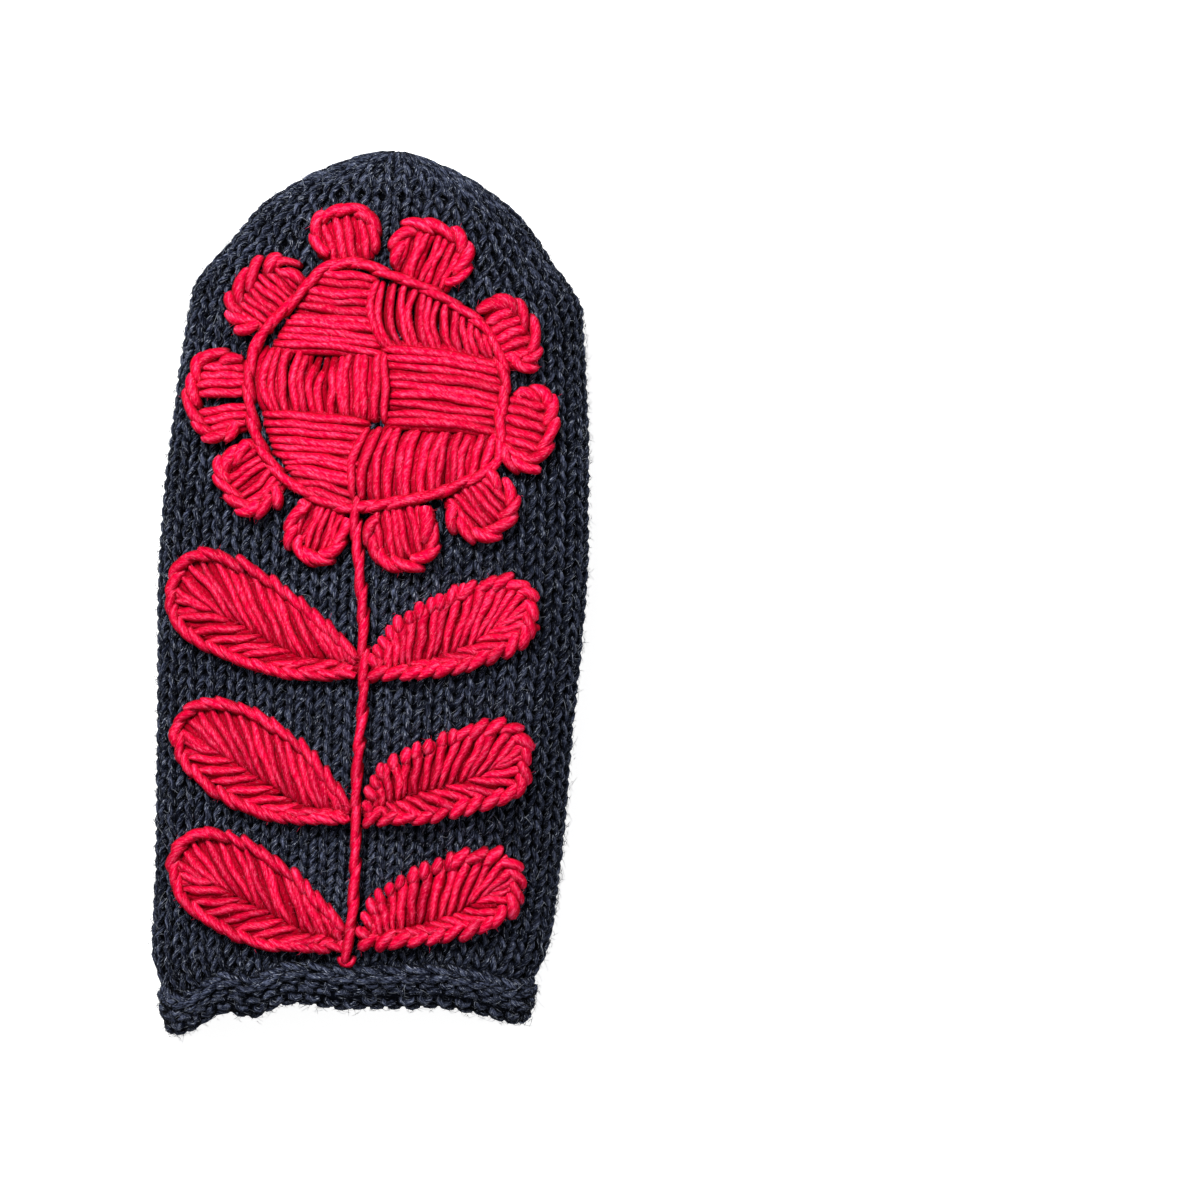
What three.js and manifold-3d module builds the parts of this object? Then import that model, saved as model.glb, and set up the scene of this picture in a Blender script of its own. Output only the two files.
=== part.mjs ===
// A hand-knitted wool mitten, laid flat with its back up and its thumb folded under the palm.
// The hand is a knitted tube whose hem curls outwards into a roll. It is in two lengths: one from
// the hem to the knuckles, and the cap of the fingers, closed and rounded at the tips. The thumb
// is a smaller tube that is knitted onto a slit in the palm. A flower is sewn on the back in thick
// yarn: ten petals round a ring, six blocks of satin stitch inside the ring, a stem and six
// leaves. Millimetres, +Z up, +Y towards the fingertips, floor at Z = 0.
import * as THREE from 'three';
import { mergeVertices } from 'three/addons/utils/BufferGeometryUtils.js';
import Module from 'manifold-3d';

const WALL = 3.0; // thickness of the knitted hand
const THUMB_WALL = 2.6;
const TIP_Y = 120; // fingertips
const KNUCKLE_Y = 44; // where the cap of the fingers begins
const KNUCKLE_GAP = 0.3;

// Sections of the hand: half its width, how far the back stands above the side fold, how deep
// the palm would bulge below it, and the height of the side fold above the floor.
const HAND = [
  { y: -120, half: 46.6, crown: 8.6, belly: 10.5, side: 8.6 },
  { y: -109, half: 49.2, crown: 9.3, belly: 10.5, side: 8.5 },
  { y: -100, half: 53.0, crown: 10.0, belly: 10.5, side: 8.4 },
  { y: -70, half: 55.3, crown: 11.4, belly: 10.0, side: 8.0 },
  { y: -35, half: 56.8, crown: 12.0, belly: 9.6, side: 8.0 },
  { y: 5, half: 58.5, crown: 12.0, belly: 9.6, side: 8.0 },
  { y: 40, half: 57.2, crown: 11.8, belly: 9.6, side: 8.0 },
  { y: 72, half: 54.3, crown: 11.4, belly: 9.6, side: 8.0 },
  { y: 81, half: 52.9, crown: 11.1, belly: 9.5, side: 8.0 },
  { y: 86, half: 50.0, crown: 10.8, belly: 9.4, side: 7.9 },
  { y: 92, half: 45.0, crown: 10.3, belly: 9.2, side: 7.8 },
  { y: 104, half: 35.7, crown: 9.1, belly: 8.4, side: 7.6 },
  { y: 110, half: 27.8, crown: 8.0, belly: 7.4, side: 7.4 },
  { y: 115, half: 18.4, crown: 6.4, belly: 5.9, side: 7.2 },
  { y: 118.4, half: 10.2, crown: 4.2, belly: 3.9, side: 7.0 },
  { y: 120, half: 0, crown: 0, belly: 0, side: 7.0 },
];
const BACK_POWER = 2.6; // superellipse power of the back half of a section
const PALM_POWER = 3.8;

// The hem's outward curl, from the foot of the roll to the mouth: inset is the distance inside
// the outer skin, so a negative inset stands proud of it.
const ROLL = [
  { y: -108.6, inset: 0.0 },
  { y: -109.4, inset: -0.4 },
  { y: -110.2, inset: -2.2 },
  { y: -112.6, inset: -3.6 },
  { y: -116.4, inset: -3.8 },
  { y: -119.2, inset: -2.0 },
  { y: -120, inset: 0.4 },
  { y: -119.2, inset: 2.4 },
];
const ROLL_ROOM = 3.9; // the palm stands this far off the floor where the roll passes under it
const HEM_ARCH = 9.2; // the middle of the hem is pulled up this far above its lowest corner
const HEM_LEFT = { x: -46, drop: 9.2, spread: 16 };
const HEM_RIGHT = { x: 46, drop: 2.8, spread: 9 };
const HEM_FADE = { from: -108, to: -66 }; // where the pull of the hem dies out

// The folded thumb under the palm, and how it props up the palm and the back above it.
const THUMB = [
  { y: -40, half: 0 },
  { y: -38, half: 8.5 },
  { y: -34, half: 13.6 },
  { y: -26, half: 16 },
  { y: 0, half: 15.4 },
  { y: 14, half: 13.4 },
  { y: 22, half: 9.4 },
  { y: 26, half: 0 },
];
const THUMB_X = 30;
const THUMB_THICK = 10;
const THUMB_POWER = 2.8;
const THUMB_BULGE = 1.2; // its faces would bulge this much more if nothing pressed them flat
const THUMB_ROUNDING = 9; // its ends get thinner where it is narrower than this
const SEAT_GAP = 0.4; // between the thumb and the palm, and under everything sewn on
const PROP_PALM = { lift: THUMB_THICK + SEAT_GAP, x: 12, rampX: 15, y0: -43, y1: 29, rampY: 18 };
const PROP_BACK = { lift: 5.2, x: 18, rampX: 48, y0: -38, y1: 24, rampY: 38 };
const SLIT = { x: 30, y: -26, long: 22, wide: 13, z0: 5, z1: 16.5 }; // the way into the thumb

const FLOWER = { x: -1.1, y: 56.4 };
const RING = [34.4, 33.2, 29.6, 30.6, 33.8, 32.6, 34.3, 34.9, 34.4, 32.6, 33.2, 37.2]; // every 30 degrees
const ROPE_RADIUS = 1.5; // of the ring and the stem
const ROPE_ROOM = 2.1; // from the middle of the ring's rope to its neighbours

const PETALS = [
  { angle: 104, width: 18.5, reach: 49.5 },
  { angle: 70, width: 22, reach: 46.5 },
  { angle: 23, width: 21, reach: 46.5 },
  { angle: -12, width: 22.5, reach: 51 },
  { angle: -47, width: 18, reach: 52 },
  { angle: -77, width: 17.5, reach: 50 },
  { angle: -109, width: 15.5, reach: 50.5 },
  { angle: -140, width: 19, reach: 50.5 },
  { angle: -173, width: 24.5, reach: 51 },
  { angle: 144, width: 22, reach: 47.5 },
];
const PETAL_HEIGHT = 2.8;

// Blocks of satin stitch, by their corners from the flower's middle, clockwise from the top left.
const BLOCKS = [
  { name: 'block_top_left', corners: [[-20, 30], [-3.2, 31], [-0.4, 8.6], [-30, 8.6]] },
  { name: 'block_top_right', corners: [[-2.6, 31], [18, 27], [33, 11.2], [0.6, 11.4]] },
  { name: 'block_mid_left', corners: [[-34, 8.0], [2.0, 8.0], [2.6, -8.2], [-34, -8.2]] },
  { name: 'block_mid_right', corners: [[2.6, 10.8], [36, 10.6], [36, -12.0], [3.2, -11.6]] },
  { name: 'block_low_left', corners: [[-34, -8.8], [2.6, -9.0], [-4.6, -33], [-20, -33]] },
  { name: 'block_low_right', corners: [[3.4, -12.2], [36, -12.6], [28, -30], [-4.0, -33]] },
];
const BLOCK_HEIGHT = 3.2;

const STEM = [
  { x: -3.5, y: 21 },
  { x: -1.3, y: -2 },
  { x: 0.0, y: -25 },
  { x: -0.6, y: -50 },
  { x: -0.2, y: -70 },
  { x: -0.9, y: -97 },
];

// Leaves from the foot at the stem to the tip. Above and below give the greatest width on each
// side of that line, and a skew: a larger one carries the widest place towards the tip.
const LEAVES = [
  { name: 'leaf_left_top', foot: [-3.0, -18.6], tip: [-52.9, -1.8], above: [13.6, 2.0], below: [10.4, 1.2] },
  { name: 'leaf_left_mid', foot: [-3.5, -59.1], tip: [-49.3, -39.0], above: [13.6, 1.8], below: [9.6, 1.2] },
  { name: 'leaf_left_low', foot: [-3.7, -93.1], tip: [-48.3, -75.2], above: [13.6, 1.8], below: [9.6, 1.1] },
  { name: 'leaf_right_top', foot: [2.4, -20.1], tip: [45.7, 1.1], above: [12.2, 1.5], below: [10.0, 1.5] },
  { name: 'leaf_right_mid', foot: [2.1, -57.5], tip: [46.1, -38.2], above: [12.3, 1.4], below: [10.7, 1.5] },
  { name: 'leaf_right_low', foot: [2.3, -92.3], tip: [45.8, -74.2], above: [13.7, 1.4], below: [9.0, 1.5] },
];
const LEAF_POWER = 2.6;
const LEAF_HEIGHT = 2.6;

const charcoal = new THREE.MeshStandardMaterial({ color: '#2b2e35', roughness: 0.95, metalness: 0 });
const red = new THREE.MeshStandardMaterial({ color: '#c9193a', roughness: 0.9, metalness: 0 });
const wasm = await Module();
wasm.setup();

const clamp = THREE.MathUtils.clamp;
const ease = (value) => THREE.MathUtils.smoothstep(value, 0, 1);
const power = (value, exponent) => Math.sign(value) * Math.abs(value) ** exponent;

// A smooth value of one column of a table at y. The curve passes through every row.
function along(table, column, y) {
  const at = clamp(y, table[0].y, table.at(-1).y);
  const i = clamp(table.findIndex((row) => row.y >= at) - 1, 0, table.length - 2);
  const slope = (k) => {
    const a = table[Math.max(k - 1, 0)];
    const b = table[Math.min(k + 1, table.length - 1)];
    return (b[column] - a[column]) / (b.y - a.y);
  };
  const [low, high] = [table[i], table[i + 1]];
  const span = high.y - low.y;
  const t = (at - low.y) / span;
  return low[column] * (1 + 2 * t) * (1 - t) ** 2
    + high[column] * t * t * (3 - 2 * t)
    + slope(i) * span * t * (1 - t) ** 2
    - slope(i + 1) * span * t * t * (1 - t);
}

// Widths and heights that shrink to nothing at an end are smooth in their squares.
function squared(table, ...columns) {
  return table.map((row) => {
    const made = { ...row };
    for (const column of columns) made[column] = row[column] ** 2;
    return made;
  });
}
const HAND_SQUARES = squared(HAND, 'half', 'crown', 'belly');
const THUMB_SQUARES = squared(THUMB, 'half');
const root = (table, column, y) => Math.sqrt(Math.max(along(table, column, y), 0));

// How far the folded thumb lifts the palm, or the back, above it.
function propped(prop, x, y) {
  const left = ease((x - prop.x + prop.rampX) / prop.rampX);
  const near = ease((y - prop.y0 + prop.rampY) / prop.rampY);
  const far = ease((prop.y1 + prop.rampY - y) / prop.rampY);
  return prop.lift * left * near * far;
}

// How far the hem is pulled up at x, and the share of it that is left at y.
function hemPull(x, y) {
  const droop = (corner) => corner.drop * Math.exp(-(((x - corner.x) / corner.spread) ** 2));
  const share = 1 - ease((y - HEM_FADE.from) / (HEM_FADE.to - HEM_FADE.from));
  return share * (HEM_ARCH - droop(HEM_LEFT) - droop(HEM_RIGHT));
}

// Height of a superellipse, from 0 to 1, over a place from -1 to 1 across it.
const archOver = (place, bend) => Math.max(1 - Math.abs(place) ** bend, 0) ** (1 / bend);

// A point of the hand, turn radians round its section at y and inset inside its outer skin.
function hand(y, turn, inset) {
  const place = Math.cos(turn);
  const x = place * Math.max(root(HAND_SQUARES, 'half', y) - inset, 0);
  const side = along(HAND, 'side', y);
  if (Math.sin(turn) >= 0) {
    const crown = Math.max(root(HAND_SQUARES, 'crown', y) - inset, 0);
    const z = side + crown * archOver(place, BACK_POWER) + propped(PROP_BACK, x, y);
    return new THREE.Vector3(x, y + hemPull(x, y), z);
  }
  const belly = Math.max(root(HAND_SQUARES, 'belly', y) - inset, 0);
  const arch = archOver(place, PALM_POWER);
  const room = ROLL_ROOM * (1 - ease((y + 106) / 26));
  const depth = Math.min(side - room - inset, belly * arch);
  const lift = THREE.MathUtils.lerp(propped(PROP_BACK, x, y), propped(PROP_PALM, x, y), ease(arch / 0.8));
  return new THREE.Vector3(x, y + hemPull(x, y), side - depth + lift);
}

// Height of the outer skin of the back over a point of the floor, and the point on it.
function backHeight(x, y) {
  let level = y;
  for (let i = 0; i < 4; i++) level = y - hemPull(x, level);
  const arch = archOver(x / root(HAND_SQUARES, 'half', level), BACK_POWER);
  const crown = root(HAND_SQUARES, 'crown', level) * arch;
  return along(HAND, 'side', level) + crown + propped(PROP_BACK, x, level);
}
function onBack(x, y, height) {
  const step = 0.5;
  const normal = new THREE.Vector3(
    (backHeight(x - step, y) - backHeight(x + step, y)) / (2 * step),
    (backHeight(x, y - step) - backHeight(x, y + step)) / (2 * step),
    1,
  ).normalize();
  return new THREE.Vector3(x, y, backHeight(x, y)).addScaledVector(normal, height);
}

// A closed body through rows of points. A row of one point closes an end, and looped joins the
// last row to the first.
function bodyThrough(rows, looped = false) {
  const starts = [];
  const points = [];
  for (const row of rows) {
    starts.push(points.length);
    points.push(...row);
  }
  const index = [];
  const last = looped ? rows.length : rows.length - 1;
  for (let r = 0; r < last; r++) {
    const next = (r + 1) % rows.length;
    const [a, b] = [rows[r].length, rows[next].length];
    for (let k = 0; k < Math.max(a, b); k++) {
      const [a0, a1] = [starts[r] + (k % a), starts[r] + ((k + 1) % a)];
      const [b0, b1] = [starts[next] + (k % b), starts[next] + ((k + 1) % b)];
      if (a > 1) index.push(a0, a1, b1);
      if (b > 1) index.push(a0, b1, b0);
    }
  }
  let volume = 0;
  for (let i = 0; i < index.length; i += 3) {
    const [p, q, w] = [points[index[i]], points[index[i + 1]], points[index[i + 2]]];
    volume += p.dot(new THREE.Vector3().crossVectors(q, w));
  }
  if (volume < 0) index.reverse();
  const geometry = new THREE.BufferGeometry().setFromPoints(points);
  geometry.setIndex(index);
  return geometry;
}

const turns = (count) => Array.from({ length: count }, (_, k) => (2 * Math.PI * k) / count);

function solidOf(geometry) {
  const bare = geometry.clone();
  bare.deleteAttribute('normal');
  bare.deleteAttribute('uv');
  const merged = mergeVertices(bare, 1e-4);
  const triVerts = new Uint32Array(merged.index.array);
  const vertProperties = new Float32Array(merged.attributes.position.array);
  return new wasm.Manifold(new wasm.Mesh({ numProp: 3, vertProperties, triVerts }));
}

function geometryOf(solid) {
  const { vertProperties, triVerts } = solid.getMesh();
  const geometry = new THREE.BufferGeometry();
  geometry.setAttribute('position', new THREE.BufferAttribute(new Float32Array(vertProperties), 3));
  geometry.setIndex(Array.from(triVerts));
  return geometry;
}

function piece(name, geometry, material) {
  geometry.computeVertexNormals();
  const mesh = new THREE.Mesh(geometry, material);
  mesh.name = name;
  return mesh;
}

// The slit through the palm and the top of the thumb, as a solid to cut with.
function slitSolid() {
  const end = SLIT.wide / 2;
  const straight = SLIT.long / 2 - end;
  const outline = new THREE.Shape();
  outline.absarc(straight, 0, end, -Math.PI / 2, Math.PI / 2);
  outline.absarc(-straight, 0, end, Math.PI / 2, (3 * Math.PI) / 2);
  const depth = SLIT.z1 - SLIT.z0;
  const prism = new THREE.ExtrudeGeometry(outline, { depth, bevelEnabled: false, curveSegments: 6 });
  prism.translate(SLIT.x, SLIT.y, SLIT.z0);
  return solidOf(prism);
}

// The knitted hand: outer skin from the fingertips to the hem, round the roll, and back inside.
function handShells(slit) {
  const around = turns(40);
  const outside = [
    118.4, 115, 110, 104, 98, 92, 86, 80, 72, 63, 55, 47, 39, 31, 22, 10,
    -4, -18, -30, -38, -46, -54, -62, -70, -79, -90, -100,
  ];
  const inside = [-112, -98, -80, -60, -50, -40, -24, -6, 12, 26, 36, 48, 64, 78, 86, 94, 102, 108, 112.5];
  const ring = (y, inset) => around.map((turn) => hand(y, turn, inset));
  const shell = bodyThrough([
    [hand(TIP_Y, 0, 0)],
    ...outside.map((y) => ring(y, 0)),
    ...ROLL.map((row) => ring(row.y, row.inset)),
    ...inside.map((y) => ring(y, WALL)),
    [new THREE.Vector3(0, TIP_Y - WALL - 1.5, along(HAND, 'side', TIP_Y))],
  ]);
  const tube = solidOf(shell).subtract(slit);
  const hem = tube.trimByPlane([0, -1, 0], KNUCKLE_GAP / 2 - KNUCKLE_Y);
  const cap = tube.trimByPlane([0, 1, 0], KNUCKLE_GAP / 2 + KNUCKLE_Y);
  return [piece('hand_shell', geometryOf(hem), charcoal), piece('finger_shell', geometryOf(cap), charcoal)];
}

// The thumb is a flattened pouch, open only through the slit in its upper wall.
function thumbPouch(slit) {
  const middle = THUMB_THICK / 2;
  const ring = (y, inset) => turns(24).map((turn) => {
    const half = root(THUMB_SQUARES, 'half', y) - inset;
    const place = Math.cos(turn);
    const limit = (middle - inset) * Math.min(1, Math.sqrt(Math.max(half, 0) / THUMB_ROUNDING));
    const rise = Math.min(THUMB_BULGE * archOver(place, THUMB_POWER), 1) * limit;
    const z = middle + Math.sign(Math.sin(turn)) * rise;
    return new THREE.Vector3(THUMB_X + half * place, y, z);
  });
  const pouch = (levels, inset) => bodyThrough([
    [new THREE.Vector3(THUMB_X, THUMB[0].y + inset, middle)],
    ...levels.map((y) => ring(y, inset)),
    [new THREE.Vector3(THUMB_X, THUMB.at(-1).y - inset, middle)],
  ]);
  const outer = solidOf(pouch([-39.4, -38, -35, -31, -24, -12, 0, 10, 17, 22, 24.6], 0));
  const inner = solidOf(pouch([-36, -33.5, -30, -24, -8, 4, 13, 19, 21.5], THUMB_WALL));
  return piece('thumb', geometryOf(outer.subtract(inner).subtract(slit)), charcoal);
}

// A padded patch of stitches on the back, inside a closed outline of [x, y] points.
function pad(name, outline, height) {
  const mean = (k) => outline.reduce((sum, point) => sum + point[k] / outline.length, 0);
  const middle = [mean(0), mean(1)];
  const row = (share, rise) => outline.map(([x, y]) => onBack(
    middle[0] + (x - middle[0]) * share,
    middle[1] + (y - middle[1]) * share,
    SEAT_GAP + rise,
  ));
  return piece(name, bodyThrough([
    [onBack(...middle, SEAT_GAP)],
    row(0.4, 0),
    row(0.75, 0),
    row(0.97, 0),
    row(1, 0.35 * height),
    row(0.86, 0.8 * height),
    row(0.5, height),
    [onBack(...middle, height + SEAT_GAP)],
  ]), red);
}

// Distance from the flower's middle to the ring at an angle in radians.
function ringRadius(angle) {
  const place = THREE.MathUtils.euclideanModulo(angle / (Math.PI / 6), RING.length);
  const first = Math.floor(place);
  const t = ease(place - first);
  return THREE.MathUtils.lerp(RING[first], RING[(first + 1) % RING.length], t);
}

function petal({ angle, width, reach }, number) {
  const aim = THREE.MathUtils.degToRad(angle);
  const [cosAim, sinAim] = [Math.cos(aim), Math.sin(aim)];
  const foot = ringRadius(aim) + ROPE_ROOM;
  const outline = turns(14).map((turn) => {
    const out = (foot + reach) / 2 + ((reach - foot) / 2) * power(Math.cos(turn), 0.8);
    const across = (width / 2) * power(Math.sin(turn), 0.8);
    const x = cosAim * out - sinAim * across;
    const y = sinAim * out + cosAim * across;
    const stretch = Math.max(1, (ringRadius(Math.atan2(y, x)) + ROPE_ROOM) / Math.hypot(x, y));
    return [FLOWER.x + x * stretch, FLOWER.y + y * stretch];
  });
  return pad(`petal_${number + 1}`, outline, PETAL_HEIGHT);
}

function block({ name, corners }) {
  const outline = turns(20).map((turn) => {
    const right = (1 + power(Math.cos(turn), 0.35)) / 2;
    const up = (1 + power(Math.sin(turn), 0.35)) / 2;
    const mix = (k) => (corners[3][k] * (1 - right) + corners[2][k] * right) * (1 - up)
      + (corners[0][k] * (1 - right) + corners[1][k] * right) * up;
    const [x, y] = [mix(0), mix(1)];
    const shrink = Math.min(1, (ringRadius(Math.atan2(y, x)) - ROPE_ROOM) / Math.hypot(x, y));
    return [FLOWER.x + x * shrink, FLOWER.y + y * shrink];
  });
  return pad(name, outline, BLOCK_HEIGHT);
}

function leaf({ name, foot, tip, above, below }) {
  const length = Math.hypot(tip[0] - foot[0], tip[1] - foot[1]);
  const [ux, uy] = [(tip[0] - foot[0]) / length, (tip[1] - foot[1]) / length];
  const up = Math.sign(ux); // the side that faces the fingertips
  const outline = turns(22).map((turn) => {
    const t = (1 - Math.cos(turn)) / 2;
    const [width, skew] = turn < Math.PI ? above : below;
    const across = Math.sign(Math.PI - turn) * width * archOver(2 * t ** skew - 1, LEAF_POWER);
    return [foot[0] + ux * length * t - uy * up * across, foot[1] + uy * length * t + ux * up * across];
  });
  return pad(name, outline, LEAF_HEIGHT);
}

// A rope of yarn that lies along points [x, y] of the back.
function rope(name, points, closed) {
  const height = SEAT_GAP + ROPE_RADIUS;
  const centres = points.map(([x, y]) => onBack(x, y, height));
  const count = centres.length;
  const rows = centres.map((centre, i) => {
    const before = centres[closed ? (i + count - 1) % count : Math.max(i - 1, 0)];
    const after = centres[closed ? (i + 1) % count : Math.min(i + 1, count - 1)];
    const forward = after.clone().sub(before).normalize();
    const sideways = new THREE.Vector3(forward.y, -forward.x, 0).normalize();
    const upwards = new THREE.Vector3().crossVectors(sideways, forward);
    return turns(6).map((turn) => centre.clone()
      .addScaledVector(sideways, ROPE_RADIUS * Math.cos(turn))
      .addScaledVector(upwards, ROPE_RADIUS * Math.sin(turn)));
  });
  const ends = closed ? rows : [[centres[0]], ...rows, [centres.at(-1)]];
  return piece(name, bodyThrough(ends, closed), red);
}

const flowerRing = rope('flower_ring', turns(48).map((turn) => [
  FLOWER.x + ringRadius(turn) * Math.cos(turn),
  FLOWER.y + ringRadius(turn) * Math.sin(turn),
]), true);
const stemLine = new THREE.SplineCurve(STEM.map(({ x, y }) => new THREE.Vector2(x, y)));
const stem = rope('stem', stemLine.getPoints(22).map((point) => [point.x, point.y]), false);

const slit = slitSolid();
const mitten = new THREE.Group();
mitten.add(...handShells(slit), thumbPouch(slit));
mitten.add(...PETALS.map(petal), flowerRing, ...BLOCKS.map(block), stem, ...LEAVES.map(leaf));

// The origin is on the floor, under the middle of the mitten.
const room = new THREE.Box3().setFromObject(mitten);
const centre = room.getCenter(new THREE.Vector3());
mitten.position.set(-centre.x, -centre.y, -room.min.z);

export default mitten;
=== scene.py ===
# A hand-knitted wool mitten with an embroidered flower, lying on its palm. The script follows the
# making of it: the hand is knitted, then the thumb, then the flower is sewn on, and last come the
# loose fibres. Lengths are millimetres until a mesh is made, +Y towards the fingertips, +Z up.
import math

import bpy
import numpy as np
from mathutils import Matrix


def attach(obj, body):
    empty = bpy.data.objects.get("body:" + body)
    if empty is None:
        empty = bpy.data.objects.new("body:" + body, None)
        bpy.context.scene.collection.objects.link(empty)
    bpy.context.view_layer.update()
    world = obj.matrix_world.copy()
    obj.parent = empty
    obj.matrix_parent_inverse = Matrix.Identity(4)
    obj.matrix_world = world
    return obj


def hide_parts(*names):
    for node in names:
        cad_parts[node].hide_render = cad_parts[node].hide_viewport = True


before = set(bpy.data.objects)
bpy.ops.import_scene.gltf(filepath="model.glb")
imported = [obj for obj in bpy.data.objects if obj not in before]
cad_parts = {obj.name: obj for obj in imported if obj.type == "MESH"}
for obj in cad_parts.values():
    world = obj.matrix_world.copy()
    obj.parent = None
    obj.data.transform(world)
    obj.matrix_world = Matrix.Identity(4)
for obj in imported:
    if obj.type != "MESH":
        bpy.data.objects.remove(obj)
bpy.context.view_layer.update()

scene = bpy.context.scene

# Camera and studio
# The camera looks straight down on a pale floor, under two soft lights and a bright sky.
CAMERA_HEIGHT = 1400.0
FRAME_WIDTH = 324.0  # what the picture spans at SHARP_HEIGHT
SHARP_HEIGHT = 14.0
FRAME_CENTRE = (61.8, 2.1)
FRAME_LEAN = math.radians(3.0)  # the mitten lies this far out of square with the picture
SENSOR = 36.0
MM = 0.001

camera_data = bpy.data.cameras.new("camera")
camera_data.sensor_width = SENSOR
camera_data.lens = SENSOR * (CAMERA_HEIGHT - SHARP_HEIGHT) / FRAME_WIDTH
camera = bpy.data.objects.new("camera", camera_data)
camera.location = (FRAME_CENTRE[0] * MM, FRAME_CENTRE[1] * MM, CAMERA_HEIGHT * MM)
camera.rotation_euler = (0.0, 0.0, FRAME_LEAN)
scene.collection.objects.link(camera)
scene.camera = camera


def set_inputs(node, values):
    for name, value in values.items():
        node.inputs[name].default_value = value


def soft_light(name, place, aim, size, power):
    data = bpy.data.lights.new(name, "AREA")
    data.shape = "DISK"
    data.size = size
    data.energy = power
    lamp = bpy.data.objects.new(name, data)
    lamp.location = place
    direction = np.array(aim) - np.array(place)
    tilt = math.atan2(math.hypot(direction[0], direction[1]), -direction[2])
    lamp.rotation_euler = (tilt, 0.0, math.atan2(-direction[0], direction[1]))
    scene.collection.objects.link(lamp)


soft_light("key_light", (-0.35, 0.75, 0.95), (0.0, 0.0, 0.0), 0.40, 23.5)
soft_light("fill_light", (0.7, -0.35, 0.9), (0.0, 0.0, 0.0), 0.9, 2.0)

world = bpy.data.worlds.new("studio")
world.use_nodes = True
set_inputs(world.node_tree.nodes["Background"], {"Color": (1.0, 1.0, 1.0, 1.0), "Strength": 0.26})
scene.world = world
scene.view_settings.view_transform = "Standard"

FLOOR_REACH = 3.0
FLOOR_CORNERS = ((-1, -1), (1, -1), (1, 1), (-1, 1))
floor_mesh = bpy.data.meshes.new("floor")
floor_mesh.from_pydata([(FLOOR_REACH * x, FLOOR_REACH * y, 0) for x, y in FLOOR_CORNERS], [], [(0, 1, 2, 3)])
floor = bpy.data.objects.new("floor", floor_mesh)
scene.collection.objects.link(floor)
paper = bpy.data.materials.new("paper")
paper.use_nodes = True
set_inputs(paper.node_tree.nodes["Principled BSDF"], {
    "Base Color": (0.55, 0.55, 0.55, 1.0), "Roughness": 0.9,
    "Emission Color": (1.0, 1.0, 1.0, 1.0), "Emission Strength": 0.85})
floor_mesh.materials.append(paper)

# The knitted hand
# One tube of two-ply charcoal wool, knitted round from the hem to the fingertips, lightly fulled.
# Its skin is worked out from the same sections as the solid in the frame.
HAND_SECTIONS = (  # y, half width, crown above the side fold, belly below it, side fold's height
    (-120, 46.6, 8.6, 10.5, 8.6),
    (-109, 49.2, 9.3, 10.5, 8.5),
    (-100, 53.0, 10.0, 10.5, 8.4),
    (-70, 55.3, 11.4, 10.0, 8.0),
    (-35, 56.8, 12.0, 9.6, 8.0),
    (5, 58.5, 12.0, 9.6, 8.0),
    (40, 57.2, 11.8, 9.6, 8.0),
    (72, 54.3, 11.4, 9.6, 8.0),
    (81, 52.9, 11.1, 9.5, 8.0),
    (86, 50.0, 10.8, 9.4, 7.9),
    (92, 45.0, 10.3, 9.2, 7.8),
    (104, 35.7, 9.1, 8.4, 7.6),
    (110, 27.8, 8.0, 7.4, 7.4),
    (115, 18.4, 6.4, 5.9, 7.2),
    (118.4, 10.2, 4.2, 3.9, 7.0),
    (120, 0.0, 0.0, 0.0, 7.0),
)
BACK_POWER = 2.6
PALM_POWER = 3.8
PALM_BLEND = 0.8  # the share of the palm's arch over which it turns into the side
ROLL_ROOM = 3.9  # how far the palm is drawn up at the hem, where the roll lies under it
ROLL_ROOM_FADE = (-106, 26)  # level, ramp
HEM_ARCH = 9.2
HEM_CORNERS = (  # x, drop, spread
    (-47, 10.6, 12), (-26, 4.0, 6), (46, 2.8, 9), (-2, 0.9, 7), (24, -0.8, 8))
HEM_FLARE = (2.2, -106, 18)  # how far the left side is pulled out, level, spread
HEM_FADE = (-108, -66)
PALM_PROP = (10.4, 12, 15, -43, 29, 18)  # lift, x, ramp, near y, far y, ramp
BACK_PROP = (5.2, 18, 48, -38, 24, 38)

hand_table = np.array(HAND_SECTIONS, float)
hand_y = hand_table[:, 0]


def along(ys, values, at):
    """The smooth curve through a table's values, at any places."""
    count = len(ys)
    before = np.maximum(np.arange(count) - 1, 0)
    after = np.minimum(np.arange(count) + 1, count - 1)
    slope = (values[after] - values[before]) / (ys[after] - ys[before])
    at = np.clip(at, ys[0], ys[-1])
    i = np.clip(np.searchsorted(ys, at) - 1, 0, count - 2)
    span = ys[i + 1] - ys[i]
    t = (at - ys[i]) / span
    return (values[i] * (1 + 2 * t) * (1 - t) ** 2 + values[i + 1] * t * t * (3 - 2 * t)
            + slope[i] * span * t * (1 - t) ** 2 - slope[i + 1] * span * t * t * (1 - t))


def root_along(ys, values, at):
    return np.sqrt(np.maximum(along(ys, values ** 2, at), 0))


def ease(value):
    value = np.clip(value, 0, 1)
    return value * value * (3 - 2 * value)


def propped(prop, x, y):
    lift, edge, ramp, near, far, ramp_y = prop
    across = ease((x - edge + ramp) / ramp)
    return lift * across * ease((y - near + ramp_y) / ramp_y) * ease((far + ramp_y - y) / ramp_y)


def hem_pull(x, y):
    share = 1 - ease((y - HEM_FADE[0]) / (HEM_FADE[1] - HEM_FADE[0]))
    droop = sum(drop * np.exp(-((x - corner) / spread) ** 2) for corner, drop, spread in HEM_CORNERS)
    return share * (HEM_ARCH - droop)


def arch_over(place, bend):
    return np.maximum(1 - np.abs(place) ** bend, 0) ** (1 / bend)


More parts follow.
